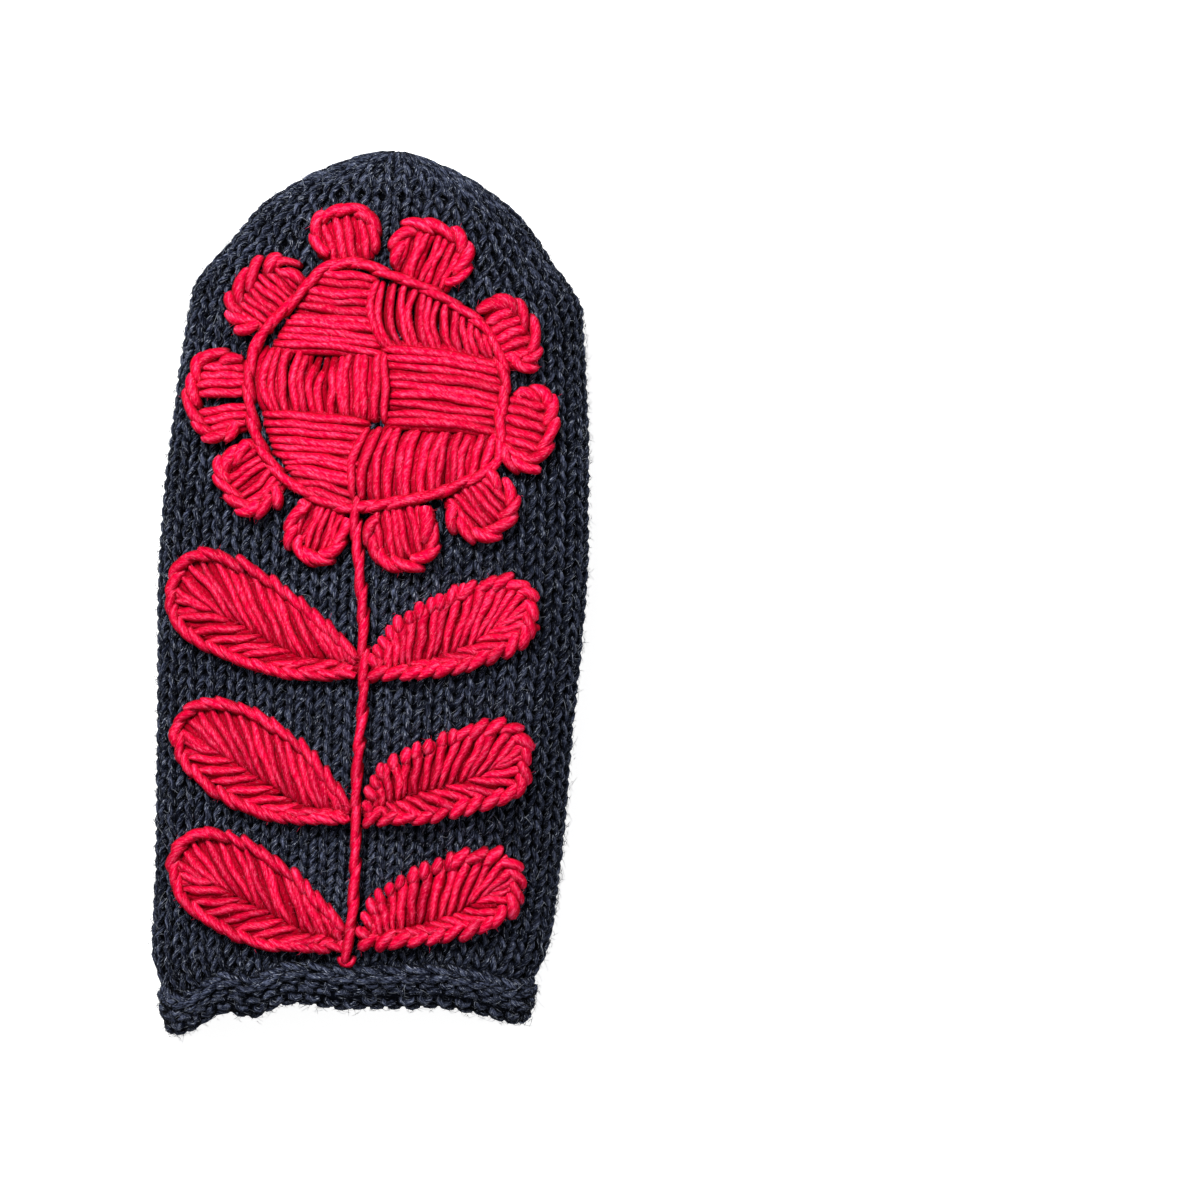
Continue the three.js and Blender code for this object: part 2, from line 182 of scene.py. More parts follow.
def hand_point(level, turn, inset):
    """A point turn radians round the hand's section at a level, and inset inside its skin."""
    level, turn, inset = np.broadcast_arrays(level, turn, inset)
    place = np.cos(turn)
    x = place * np.maximum(root_along(hand_y, hand_table[:, 1], level) - inset, 0)
    flare, flare_level, flare_spread = HEM_FLARE
    x = x - flare * np.exp(-((level - flare_level) / flare_spread) ** 2) * np.clip(-place, 0, 1) ** 2
    side = along(hand_y, hand_table[:, 4], level)
    crown = np.maximum(root_along(hand_y, hand_table[:, 2], level) - inset, 0)
    belly = np.maximum(root_along(hand_y, hand_table[:, 3], level) - inset, 0)
    back_lift = propped(BACK_PROP, x, level)
    back_z = side + crown * arch_over(place, BACK_POWER) + back_lift
    arch = arch_over(place, PALM_POWER)
    room = ROLL_ROOM * (1 - ease((level - ROLL_ROOM_FADE[0]) / ROLL_ROOM_FADE[1]))
    depth = np.minimum(side - room - inset, belly * arch)
    share = ease(arch / PALM_BLEND)
    palm_z = side - depth + back_lift * (1 - share) + propped(PALM_PROP, x, level) * share
    z = np.where(np.sin(turn) >= 0, back_z, palm_z)
    return np.stack([x, level + hem_pull(x, level), z], axis=-1)


def skin_height(x, y):
    level = y
    for _ in range(4):
        level = y - hem_pull(x, level)
    half = root_along(hand_y, hand_table[:, 1], level)
    crown = root_along(hand_y, hand_table[:, 2], level)
    side = along(hand_y, hand_table[:, 4], level)
    return side + crown * arch_over(np.clip(x / half, -1, 1), BACK_POWER) + propped(BACK_PROP, x, level)


def skin_normal(x, y):
    step = 0.5
    slope_x = (skin_height(x + step, y) - skin_height(x - step, y)) / (2 * step)
    slope_y = (skin_height(x, y + step) - skin_height(x, y - step)) / (2 * step)
    normal = np.stack([-slope_x, -slope_y, np.ones_like(slope_x)], axis=-1)
    return normal / np.linalg.norm(normal, axis=-1, keepdims=True)


# Knitting: one yarn runs round the tube in loops. Its middle lies FABRIC_DEPTH under the skin.
YARN_RADIUS = 1.1
LOOP_DEPTH = 0.84  # from the fabric's middle to the legs in front and the heads behind
FABRIC_DEPTH = 2.05
ROW = 3.8
WALE = 5.3
LOOP_SWING = 0.235  # of a wale: how far the legs lean
LOOP_REACH = 0.86  # of a row, up and down
LOOP_STEPS = 14
LOOP_SHIFT = 0.13  # how far loops stray, in millimetres
LOOP_SIZES = 0.05
LOOP_TONES = 0.22
YARN_SIDES = 6
YARN_CLEARANCE = 0.9 * YARN_RADIUS  # above the floor
PLY_TWIST = 0.7  # radians in a millimetre
TURN_STEPS = 720

# The fabric's path at the hem, from the foot of the roll: down, round, up again and in.
ROLL_TOP = -108.0
ROLL_DOWN = 8.4
ROLL_RADIUS = 2.1
ROLL_UP = 4.2
ROLL_EDGE = 1.6
ROLL_FLATTENED = 0.42  # how much closer to the hand the roll lies at the side folds
FOLD_POWER = 8
roll_turn = ROLL_DOWN + math.pi * ROLL_RADIUS
roll_end = roll_turn + ROLL_UP


def roll_path(run):
    """Level, inset and the face's direction (in level and inset) after a run of fabric."""
    bend = np.clip((run - ROLL_DOWN) / ROLL_RADIUS, 0, math.pi)
    curl = np.clip((run - roll_end) / ROLL_EDGE, 0, math.pi / 2)
    down = np.minimum(run, ROLL_DOWN)
    up = np.clip(run - roll_turn, 0, ROLL_UP)
    level = ROLL_TOP - down - ROLL_RADIUS * np.sin(bend) + up + ROLL_EDGE * np.sin(curl)
    inset = FABRIC_DEPTH - ROLL_RADIUS * (1 - np.cos(bend)) + ROLL_EDGE * (1 - np.cos(curl))
    face_level = np.where(run > roll_end, -np.sin(curl), np.sin(bend))
    face_inset = np.where(run > roll_end, np.cos(curl), -np.cos(bend))
    return level, inset, face_level, face_inset


def fold_share(turn):
    return np.abs(np.cos(turn)) ** FOLD_POWER


def hand_fabric(run, turn, height):
    """A point of the hand's fabric: run down from the roll's foot, turn round it, height in front."""
    level, inset, face_level, face_inset = roll_path(run)
    inset = FABRIC_DEPTH + (inset - FABRIC_DEPTH) * (1 - ROLL_FLATTENED * fold_share(turn))
    point = hand_point(level + height * face_level, turn, inset + height * face_inset)
    point[..., 2] = np.maximum(point[..., 2], YARN_CLEARANCE)
    return point


def unit(vector):
    return vector / np.maximum(np.linalg.norm(vector, axis=-1, keepdims=True), 1e-9)


def walk(line):
    """How far along a line each of its points is."""
    return np.concatenate([[0], np.cumsum(np.linalg.norm(np.diff(line, axis=0), axis=1))])


FULL_LIGHT = 0.95  # the sine at which the top of a tube is fully painted lit


class Skein:
    """Collects tubes of yarn, and makes one mesh of them with a "yarn" UV map, a tone and a painted light.
    side_shade says how far down its sides a tube is painted lit: at 1 nearly to its underside."""

    def __init__(self, side_shade=0.35):
        self.side_shade = side_shade
        self.points, self.quads, self.ends, self.maps, self.end_maps = [], [], [], [], []
        self.tones, self.lights = [], []
        self.count = 0

    def lay(self, path, sideways, upwards, radius, sides, closed, tone, phase=0.0, plies=0.0, light=1.0,
            facing=1.0):
        """Adds one tube round a path. phase turns its fibres, plies is how far its two plies stand
        out, and light is painted shade for how open it lies. Its sides are painted darker than its top,
        or than its underside where facing is -1."""
        n = len(path)
        radius = np.broadcast_to(radius, n)[:, None, None]
        around = math.pi / 2 + np.arange(sides) * (2 * math.pi / sides)
        ring = (np.cos(around)[None, :, None] * sideways[:, None, :]
                + np.sin(around)[None, :, None] * upwards[:, None, :])
        length = walk(np.append(path, path[:1], axis=0))
        lobes = 1 + plies * np.cos(2 * (around + phase * 2 * math.pi) + PLY_TWIST * length[:n, None])
        self.points.append((path[:, None, :] + ring * radius * lobes[:, :, None]).reshape(-1, 3))
        self.tones.append(np.broadcast_to(np.reshape(tone, (-1, 1)), (n, sides)).ravel())
        top = np.sin(around)[None, :] * np.broadcast_to(np.reshape(facing, (-1, 1)), (n, 1))
        top = ease((top + self.side_shade) / (FULL_LIGHT + self.side_shade))
        self.lights.append((np.broadcast_to(np.reshape(light, (-1, 1)), (n, 1)) * top).ravel())
        rows = n if closed else n - 1
        i = np.arange(rows)[:, None]
        k = np.arange(sides)[None, :]
        after = (i + 1) % n
        right = (k + 1) % sides
        quad = np.stack([i * sides + k, i * sides + right, after * sides + right, after * sides + k],
                        axis=-1)
        self.quads.append(quad.reshape(-1, 4) + self.count)
        low, high = length[:rows][:, None], length[1:rows + 1][:, None]
        v0, v1 = k / sides + phase, (k + 1) / sides + phase
        u = np.stack([low + 0 * k, low + 0 * k, high + 0 * k, high + 0 * k], axis=-1)
        v = np.stack([v0 + 0 * i, v1 + 0 * i, v1 + 0 * i, v0 + 0 * i], axis=-1)
        self.maps.append(np.stack([u, v], axis=-1).reshape(-1, 2))
        if not closed:
            first = self.count + np.arange(sides)[::-1]
            last = self.count + (n - 1) * sides + np.arange(sides)
            self.ends.append(np.stack([first, last]))
            self.end_maps.append(np.zeros((2 * sides, 2)))
        self.count += n * sides

    def mesh(self, name, material):
        points = np.concatenate(self.points) * MM
        quads = np.concatenate(self.quads)
        loops = np.concatenate([quads.ravel()] + [end.ravel() for end in self.ends])
        corners = [np.full(len(quads), 4)] + [np.full(len(end), end.shape[1]) for end in self.ends]
        totals = np.concatenate(corners)
        mesh = bpy.data.meshes.new(name)
        mesh.vertices.add(len(points))
        mesh.vertices.foreach_set("co", points.ravel())
        mesh.loops.add(len(loops))
        mesh.loops.foreach_set("vertex_index", loops)
        mesh.polygons.add(len(totals))
        mesh.polygons.foreach_set("loop_start", np.concatenate([[0], np.cumsum(totals)[:-1]]))
        mesh.polygons.foreach_set("loop_total", totals)
        layer = mesh.uv_layers.new(name="yarn")
        layer.data.foreach_set("uv", np.concatenate(self.maps + self.end_maps).ravel())
        for attribute, values in (("tone", self.tones), ("light", self.lights)):
            layer = mesh.attributes.new(attribute, "FLOAT", "POINT")
            layer.data.foreach_set("value", np.concatenate(values).astype(np.float32))
        mesh.update(calc_edges=True)
        mesh.shade_smooth()
        mesh.materials.append(material)
        piece = bpy.data.objects.new(name, mesh)
        scene.collection.objects.link(piece)
        return piece


def wander(seed, phase, waves):
    """A smooth random line between about -1 and 1 that closes on itself, at phase radians."""
    dice = np.random.default_rng(seed)
    total = np.zeros_like(phase)
    for wave in range(1, waves + 1):
        total += dice.normal() / wave ** 0.5 * np.sin(wave * phase + dice.uniform(0, 2 * math.pi))
    return total / 1.6


# Wool: fibres run along each yarn and turn round it with its twist. The group reads the "yarn" UV
# map, and gives a colour mask for the fibres, one for pale stray ones, and a height for the bump.
# It also passes on the mesh's tone and its painted light.
def add_node(tree, kind, inputs=(), **settings):
    node = tree.nodes.new(kind)
    for name, value in settings.items():
        setattr(node, name, value)
    for socket, value in inputs:
        if isinstance(value, bpy.types.NodeSocket):
            tree.links.new(value, node.inputs[socket])
        else:
            node.inputs[socket].default_value = value
    return node


def math_node(tree, operation, first, second=0.0, third=0.0):
    inputs = ((0, first), (1, second), (2, third))
    return add_node(tree, "ShaderNodeMath", inputs, operation=operation).outputs[0]


wool_fibre = bpy.data.node_groups.new("wool_fibre", "ShaderNodeTree")
for socket_name, start in (("Twist", 0.6), ("Fineness", 1.0), ("Seed", 0.0)):
    made = wool_fibre.interface.new_socket(socket_name, in_out="INPUT", socket_type="NodeSocketFloat")
    made.default_value = start
for socket_name in ("Fibre", "Stray", "Height", "Tone", "Light"):
    wool_fibre.interface.new_socket(socket_name, in_out="OUTPUT", socket_type="NodeSocketFloat")
group_in = wool_fibre.nodes.new("NodeGroupInput")
group_out = wool_fibre.nodes.new("NodeGroupOutput")
yarn_map = add_node(wool_fibre, "ShaderNodeUVMap", uv_map="yarn")
yarn_parts = add_node(wool_fibre, "ShaderNodeSeparateXYZ", ((0, yarn_map.outputs[0]),))
yarn_tone = add_node(wool_fibre, "ShaderNodeAttribute", attribute_name="tone")
yarn_light = add_node(wool_fibre, "ShaderNodeAttribute", attribute_name="light")
run_along = yarn_parts.outputs[0]
twisted = math_node(wool_fibre, "MULTIPLY", run_along, group_in.outputs["Twist"])
angle = math_node(wool_fibre, "MULTIPLY_ADD", yarn_parts.outputs[1], 2 * math.pi, twisted)
shift = math_node(wool_fibre, "MULTIPLY_ADD", yarn_tone.outputs["Fac"], 37.0, group_in.outputs["Seed"])


def fibre_noise(along_scale, around_scale, detail, seed):
    """Noise that is drawn out along the yarn and turns with its twist."""
    tree = wool_fibre
    x = math_node(tree, "MULTIPLY_ADD", run_along, along_scale, shift)
    y = math_node(tree, "MULTIPLY", math_node(tree, "COSINE", angle), around_scale)
    z = math_node(tree, "MULTIPLY_ADD", math_node(tree, "SINE", angle), around_scale, seed)
    place = add_node(tree, "ShaderNodeCombineXYZ", ((0, x), (1, y), (2, z)))
    return add_node(tree, "ShaderNodeTexNoise", (
        ("Vector", place.outputs[0]), ("Scale", group_in.outputs["Fineness"]), ("Detail", detail),
        ("Roughness", 0.62))).outputs["Fac"]


coarse = fibre_noise(0.16, 0.9, 2.0, 0.0)
fine = fibre_noise(0.34, 2.3, 3.0, 11.0)
# Lint is short fluff that lies in all directions, so it breaks up the drawn-out fibres.
object_place = add_node(wool_fibre, "ShaderNodeTexCoord")
lint = add_node(wool_fibre, "ShaderNodeTexNoise", (
    ("Vector", object_place.outputs["Object"]), ("Scale", 1500.0), ("Detail", 2.0),
    ("Roughness", 0.6))).outputs["Fac"]
COARSE_SHARE = 0.38
FINE_SHARE = 0.42
LINT_SHARE = 0.20
drawn = math_node(wool_fibre, "MULTIPLY", coarse, COARSE_SHARE)
drawn = math_node(wool_fibre, "MULTIPLY_ADD", fine, FINE_SHARE, drawn)
mixed = math_node(wool_fibre, "MULTIPLY_ADD", lint, LINT_SHARE, drawn)
fibre_mask = add_node(wool_fibre, "ShaderNodeMapRange", (
    ("Value", mixed), ("From Min", 0.38), ("From Max", 0.62), ("To Min", 0.0), ("To Max", 1.0)))
stray_mask = add_node(wool_fibre, "ShaderNodeMapRange", (
    ("Value", fibre_noise(0.40, 2.6, 2.0, 23.0)), ("From Min", 0.61), ("From Max", 0.71)))
for socket_name, value in (("Fibre", fibre_mask.outputs[0]), ("Stray", stray_mask.outputs[0]),
                           ("Height", mixed), ("Tone", yarn_tone.outputs["Fac"]),
                           ("Light", yarn_light.outputs["Fac"])):
    wool_fibre.links.new(value, group_out.inputs[socket_name])


def wool(name, deep, plain, lit, twist, fineness, stray, bump, sheen, sheen_tint, shade):
    """A wool yarn: three colours, picked by the fibre pattern and by a painted highlight on a strand's
    lit top, from dark fibres to lit ones; a share of pale strays; and shade, the painted shade: the
    share of the colour that is left between two strands."""
    material = bpy.data.materials.new(name)
    material.use_nodes = True
    tree = material.node_tree
    shader = tree.nodes["Principled BSDF"]
    fibre = add_node(tree, "ShaderNodeGroup", node_tree=wool_fibre)
    set_inputs(fibre, {"Twist": twist, "Fineness": fineness})
    # Painted highlight: a strand's painted-lit top shows more of the lit fibres than its sides.
    fibre_and_painted_highlight = math_node(tree, "MULTIPLY_ADD", fibre.outputs["Light"], 0.5,
                       math_node(tree, "MULTIPLY_ADD", fibre.outputs["Fibre"], 0.7, -0.22))
    ramp = add_node(tree, "ShaderNodeValToRGB", ((0, fibre_and_painted_highlight),))
    ramp.color_ramp.elements[0].color = (*deep, 1.0)
    ramp.color_ramp.elements[1].color = (*lit, 1.0)
    ramp.color_ramp.elements.new(0.5).color = (*plain, 1.0)
    # The tone varies at random; padding strands get a lower tone as painted shade.
    level = add_node(tree, "ShaderNodeMapRange", (
        ("Value", fibre.outputs["Tone"]), ("To Min", 0.68), ("To Max", 1.32)))
    toned = add_node(tree, "ShaderNodeVectorMath", (
        (0, ramp.outputs[0]), (1, level.outputs[0])), operation="MULTIPLY")
    pale = add_node(tree, "ShaderNodeMix", (
        ("Factor", math_node(tree, "MULTIPLY", fibre.outputs["Stray"], stray[0])),
        ("A", toned.outputs[0]), ("B", (*stray[1], 1.0))), data_type="RGBA")
    # Painted shade: where the painted light is low, the colour is multiplied down by shade.
    painted_hollow_shade = add_node(tree, "ShaderNodeVectorMath", (
        (0, pale.outputs["Result"]), (1, shade)), operation="MULTIPLY")
    shaded = add_node(tree, "ShaderNodeMix", (
        ("Factor", fibre.outputs["Light"]), ("A", painted_hollow_shade.outputs[0]), ("B", pale.outputs["Result"])),
        data_type="RGBA")
    tree.links.new(shaded.outputs["Result"], shader.inputs["Base Color"])
    relief = add_node(tree, "ShaderNodeBump", (
        ("Height", fibre.outputs["Height"]), ("Strength", bump), ("Distance", 0.0006)))
    tree.links.new(relief.outputs[0], shader.inputs["Normal"])
    set_inputs(shader, {"Roughness": 0.9, "Specular IOR Level": 0.02, "Sheen Weight": sheen,
                        "Sheen Roughness": 0.45, "Sheen Tint": (*sheen_tint, 1.0)})
    return material


# Its lit colour shows only on painted-lit tops, so it is partly a painted highlight; shade is the painted
# shade between strands.
charcoal_yarn = wool(
    "charcoal_yarn", (0.0012, 0.0014, 0.0028), (0.0054, 0.0070, 0.0142), (0.118, 0.138, 0.218),
    twist=0.45, fineness=2.0, stray=(0.95, (0.52, 0.57, 0.68)), bump=1.0, sheen=0.008,
    sheen_tint=(0.62, 0.68, 0.80), shade=(0.04, 0.04, 0.04))


def finish_charcoal(skein, name, *nodes, material=charcoal_yarn):
    """Makes a piece of charcoal wool that stands for the nodes."""
    piece = skein.mesh(name, material)
    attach(piece, "root")
    for node in nodes:
        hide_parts(node)


FACE_TURN = (ROLL_DOWN - 1.0, 3.0)  # run, ramp


def face_shown(run):
    """1 where the fabric shows its front, and -1 where the roll shows its back."""
    return 1 - 2 * ease((run - FACE_TURN[0]) / FACE_TURN[1])


def knit_rows(skein, fabric, section, runs, pitches, seed, halves, shown):
    """Knits rows of loops. fabric gives points, section(run) the width that turns are measured by,
    pitches the height of each row, halves its number of stitches on the back and the palm, and
    shown which side shows. Gives the loops' paths, the ways out of the fabric, and their heights."""
    legs = []
    beat = np.arange(LOOP_STEPS) * (2 * math.pi / LOOP_STEPS)
    fine_turn = np.linspace(0, 2 * math.pi, TURN_STEPS + 1)
    for row, (run, pitch) in enumerate(zip(runs, pitches)):
        ring = fabric(np.full(TURN_STEPS + 1, run), fine_turn, 0.0)
        walked = walk(ring)
        far_side = walked[TURN_STEPS // 2]
        back, palm = halves(run, far_side, walked[-1] - far_side)
        parts = []
        for stitches, start, end in ((back, 0.0, far_side), (palm, far_side, walked[-1])):
            dice = np.random.default_rng(seed + 1000 * row + int(start > 0))
            wale = (end - start) / stitches
            swing = LOOP_SWING * wale
            sway = dice.normal(0, LOOP_SHIFT, stitches)[:, None]
            rise = dice.normal(0, LOOP_SHIFT, stitches)[:, None]
            size = 1 + dice.normal(0, LOOP_SIZES, stitches)[:, None]
            place = (np.arange(stitches)[:, None] + beat / (2 * math.pi)) * wale
            s = start + place + swing * size * np.sin(2 * beat) + sway * np.sin(beat / 2) ** 2
            up = -LOOP_REACH * pitch * size * np.cos(beat) + rise * np.sin(beat / 2) ** 2
            front = -LOOP_DEPTH * np.cos(2 * beat) + 0 * s
            tone = np.clip(0.5 + dice.normal(0, LOOP_TONES, stitches), 0, 1)[:, None] + 0 * s
            # Where stitches are decreased, the fabric is lumpier.
            lumps = dice.normal(0, 0.28 if pitch < ROW else 0.14, stitches)[:, None]
            bulge = lumps * np.sin(beat / 2) ** 2
            parts.append((s.ravel(), up.ravel(), front.ravel(), tone.ravel(), bulge.ravel()))
        s, up, front, tone, bulge = (np.concatenate(column) for column in zip(*parts))
        turn = np.interp(s, walked, fine_turn)
        # Away from the side folds a loop keeps its x from row to row, so the wales stay straight.
        here, there = section(run), section(run - up)
        side_share = ease((np.abs(np.cos(turn)) * here - (here - 3.2 * WALE)) / (1.8 * WALE))
        ratio = here / np.maximum(there, 1e-3)
        place = np.clip(np.cos(turn) * (ratio * (1 - side_share) + side_share), -1, 1)
        bent = np.where(np.sin(turn) >= 0, np.arccos(place), 2 * math.pi - np.arccos(place))
        path = fabric(run - up, bent, front + bulge)
        outwards = unit(fabric(run - up, bent, front + 0.4) - fabric(run - up, bent, front - 0.4))
        forwards = unit(np.roll(path, -1, axis=0) - np.roll(path, 1, axis=0))
        sideways = unit(np.cross(forwards, outwards))
        upwards = np.cross(sideways, forwards)
        around = np.linspace(0, 2 * math.pi, len(path), endpoint=False)
        radius = YARN_RADIUS * (1 + 0.05 * wander(seed + row, around, 90))
        facing = shown(run - up)
        # Painted shade: a loop is darker where it runs behind the fabric.
        light = 0.08 + 0.92 * ease((front * facing / LOOP_DEPTH + 0.8) / 1.6)
        skein.lay(path, sideways, upwards, radius, YARN_SIDES, True, tone, row * 0.37, 0.06, light, facing)
        legs.append((path, outwards * facing[:, None], front * facing))
    return legs


TIP_LEVEL = 118.2
TAPER_LEVEL = 79.0
TIP_ROW = 2.95  # rows are drawn together where the fingertips are decreased
taper_run = ROLL_TOP - TAPER_LEVEL
tip_runs = np.arange(ROLL_TOP - TIP_LEVEL, taper_run, TIP_ROW)
body_runs = np.arange(tip_runs[-1] + 0.5 * (TIP_ROW + ROW), roll_end + 2.0, ROW)
hand_runs = np.concatenate([tip_runs, body_runs])
hand_pitches = np.where(hand_runs < taper_run, TIP_ROW, ROW)
FULL_HALF = 22  # stitches on the back, and as many on the palm
TOP_LEVEL = 108.0


def hand_halves(run, back_length, palm_length):
    if run > taper_run:
        return FULL_HALF, FULL_HALF
    # An odd number of stitches at the very top puts one across the middle.
    top = 1 if run < ROLL_TOP - TOP_LEVEL else 0
    return tuple(max(3, 2 * int(round(length / WALE / 2)) + top) for length in (back_length, palm_length))


def hand_half_width(run):
    level = roll_path(np.asarray(run, float))[0]
    return np.maximum(root_along(hand_y, hand_table[:, 1], level) - FABRIC_DEPTH, 0.5)


# Bands of rows, one piece each, from the fingertips to the rolled hem.
BANDS = (  # name, first row, last row, nodes
    ("hand_knit_fingers", 0, 22, ("finger_shell",)),
    ("hand_knit_knuckles", 22, 40, ("finger_shell", "hand_shell")),
    ("hand_knit_palm", 40, 54, ("hand_shell",)),
    ("hand_knit_hem", 54, len(hand_runs), ("hand_shell",)),
)
hand_legs = []
for name, first, last, nodes in BANDS:
    skein = Skein()
    hand_legs += knit_rows(skein, hand_fabric, hand_half_width, hand_runs[first:last],
                           hand_pitches[first:last], 500 + 77 * first, hand_halves, face_shown)
    finish_charcoal(skein, name, *nodes)

# The cast-on edge is a chain of fat links along the top of the roll, two slanted strands to a link.
EDGE_RUN = roll_end + 1.3
EDGE_HEIGHT = -0.9
EDGE_LINK = 4.6
EDGE_REACH = 2.9  # half the length of a strand
EDGE_RADIUS = 1.28
EDGE_CLEARANCE = 1.2  # above the floor
EDGE_STEPS = 1440
EDGE_CORE_DEPTH = 6.0  # the edge faces away from this far inside the skin


def edge_chain(skein):
    turn = np.linspace(0, 2 * math.pi, EDGE_STEPS + 1)[:-1]
    middle = hand_fabric(np.full(EDGE_STEPS, EDGE_RUN), turn, EDGE_HEIGHT)
    below = hand_fabric(np.full(EDGE_STEPS, EDGE_RUN - 1.6), turn, EDGE_HEIGHT)
    outer = unit(middle - hand_point(ROLL_TOP, turn, EDGE_CORE_DEPTH))
    total = walk(np.append(middle, middle[:1], axis=0))[-1]
    links = int(total / EDGE_LINK)
    dice = np.random.default_rng(77)
    t = np.linspace(-1, 1, 11)
    for link in range(links):
        for side in (-1, 1):
            s = (link + 0.5 + dice.normal(0, 0.05)) * total / links + t * EDGE_REACH
            place = np.mod(s, total) / total * EDGE_STEPS
            low = np.mod(np.floor(place).astype(int), EDGE_STEPS)
            point, out, down = middle[low], outer[low], unit(below[low] - middle[low])
            # Both strands of a link rise from its root and part towards the next one.
            aside = side * (0.25 + 1.75 * (t + 1) / 2) + dice.normal(0, 0.12)
            folded = fold_share(turn[low])
            lift = (1 - t ** 4 - 1.98 * np.maximum(t - 0.6, 0)) * (1 - folded) - 1.2 * folded
            path = point + down * aside[:, None] + out * lift[:, None]
            path[:, 2] = np.maximum(path[:, 2], EDGE_CLEARANCE)
            forwards = unit(np.gradient(path, axis=0))
            sideways = unit(np.cross(forwards, out))
            radius = EDGE_RADIUS * (0.7 + 0.3 * np.cos(t * math.pi / 2) ** 0.6)
            # Painted shade: a strand is darker towards its ends, where it dives.
            skein.lay(path, sideways, np.cross(sideways, forwards), radius, 7, False,
                      dice.uniform(0.3, 0.8), dice.uniform(0, 1), 0.08, 0.45 + 0.55 * (1 - t ** 4))


skein = Skein()
edge_chain(skein)
finish_charcoal(skein, "hem_edge_chain", "hand_shell")

# Fulling has felted the backs of the loops into a thin mat, which also closes the fingertips. The
# mat lies behind the loops and is painted in shade.
MAT_FRONT = 0.1
MAT_BACK = -1.1


def felt_mat(skein, fabric, runs, around):
    """A closed sheet that follows the fabric, from the first run to the last and back inside."""
    turn = np.linspace(0, 2 * math.pi, around, endpoint=False)
    rings = [fabric(np.full(around, run), turn, MAT_FRONT) for run in runs]
    rings += [fabric(np.full(around, run), turn, MAT_BACK) for run in runs[::-1]]
    count = len(rings)
    i, k = np.arange(count)[:, None], np.arange(around)[None, :]
    after, right = (i + 1) % count, (k + 1) % around
    quad = np.stack([i * around + k, after * around + k, after * around + right, i * around + right],
                    axis=-1)
    skein.points.append(np.concatenate(rings))
    skein.quads.append(quad.reshape(-1, 4) + skein.count)
    u = 3.0 * np.stack([i, after, after, i], axis=-1) + 0 * k[..., None]
    v = np.stack([k, k, k + 1, k + 1], axis=-1) / around * 8 + 0 * u
    skein.maps.append(np.stack([u, v], axis=-1).reshape(-1, 2))
    skein.tones.append(np.full(count * around, 0.5))
    # The whole mat gets a low painted light, a painted shade.
    skein.lights.append(np.full(count * around, 0.3))
    skein.count += count * around


FELT_TOP_LEVEL = 117.0
felt_runs = np.concatenate([np.linspace(ROLL_TOP - FELT_TOP_LEVEL, -8, 62),
                            np.linspace(-4, roll_end + ROLL_EDGE, 16)])
skein = Skein()
felt_mat(skein, hand_fabric, felt_runs, 96)
finish_charcoal(skein, "hand_felt", "hand_shell", "finger_shell")

# The thumb
# A smaller tube of the same knitting, folded flat under the palm and closed at both ends.
THUMB_SECTIONS = np.array((  # y, half width
    (-40, 0), (-38, 8.5), (-34, 13.6), (-26, 16), (0, 15.4), (14, 13.4), (22, 9.4), (26, 0)), float)
THUMB_X = 30
THUMB_MIDDLE = 5.0
THUMB_POWER = 2.8
THUMB_BULGE = 1.2
THUMB_ROUNDING = 9
THUMB_TIP = 24.4
THUMB_RUN = 62.0


def thumb_half(level):
    return root_along(THUMB_SECTIONS[:, 0], THUMB_SECTIONS[:, 1], level)


def thumb_fabric(run, turn, height):
    """A point of the thumb's fabric: run down from its tip, turn round it, height in front."""
    inset = FABRIC_DEPTH - height
    level = THUMB_TIP - run
    half = np.maximum(thumb_half(level) - inset, 0)
    place = np.cos(turn)
    limit = (THUMB_MIDDLE - inset) * np.minimum(1, np.sqrt(half / THUMB_ROUNDING))
    rise = np.minimum(THUMB_BULGE * arch_over(place, THUMB_POWER), 1) * limit
    z = THUMB_MIDDLE + np.sign(np.sin(turn)) * rise
    point = np.stack([THUMB_X + half * place, level + 0 * z, z], axis=-1)
    point[..., 2] = np.maximum(point[..., 2], YARN_CLEARANCE)
    return point


def thumb_halves(run, back_length, palm_length):
    return tuple(max(2, int(round(length / WALE))) for length in (back_length, palm_length))


def thumb_half_width(run):
    return np.maximum(thumb_half(THUMB_TIP - run) - FABRIC_DEPTH, 0.5)


thumb_runs = np.arange(0, THUMB_RUN, ROW)
skein = Skein()
knit_rows(skein, thumb_fabric, thumb_half_width, thumb_runs, np.full(len(thumb_runs), ROW), 4100,
          thumb_halves, np.ones_like)
felt_mat(skein, thumb_fabric, np.linspace(0.5, THUMB_RUN - 0.5, 24), 40)
finish_charcoal(skein, "thumb_knit", "thumb")

# The embroidery yarn and how it is sewn
# One thick, softly twisted crimson wool. Every stitch rises out of the knitting, arches over it and
# dives in again, so a stitch is a tube along a line on the back, at a height above it.
# As on the charcoal wool, the lit colour is partly a painted highlight and shade is the painted shade
# between strands.
red_yarn = wool(
    "red_yarn", (0.46, 0.000, 0.018), (0.84, 0.000, 0.048), (1.0, 0.100, 0.235),
    twist=0.40, fineness=2.3, stray=(0.6, (1.0, 0.30, 0.40)), bump=1.0, sheen=0.03,
    sheen_tint=(1.0, 0.35, 0.42), shade=(0.60, 0.06, 0.26))
STRAND = 1.2  # radius of a strand that lies under tension
SINK = 1.3  # how deep the ends of a stitch dive
ROPE_SINK = 0.7
RED_SIDES = -0.48  # side_shade of a strand: its top alone is painted lit, its sides are in painted shade
PAINTED_LAYER_SHADE = (0.4, 1.0)  # painted shade: the padding under a strand is darker than the strand
TONES = (0.2, 0.85)


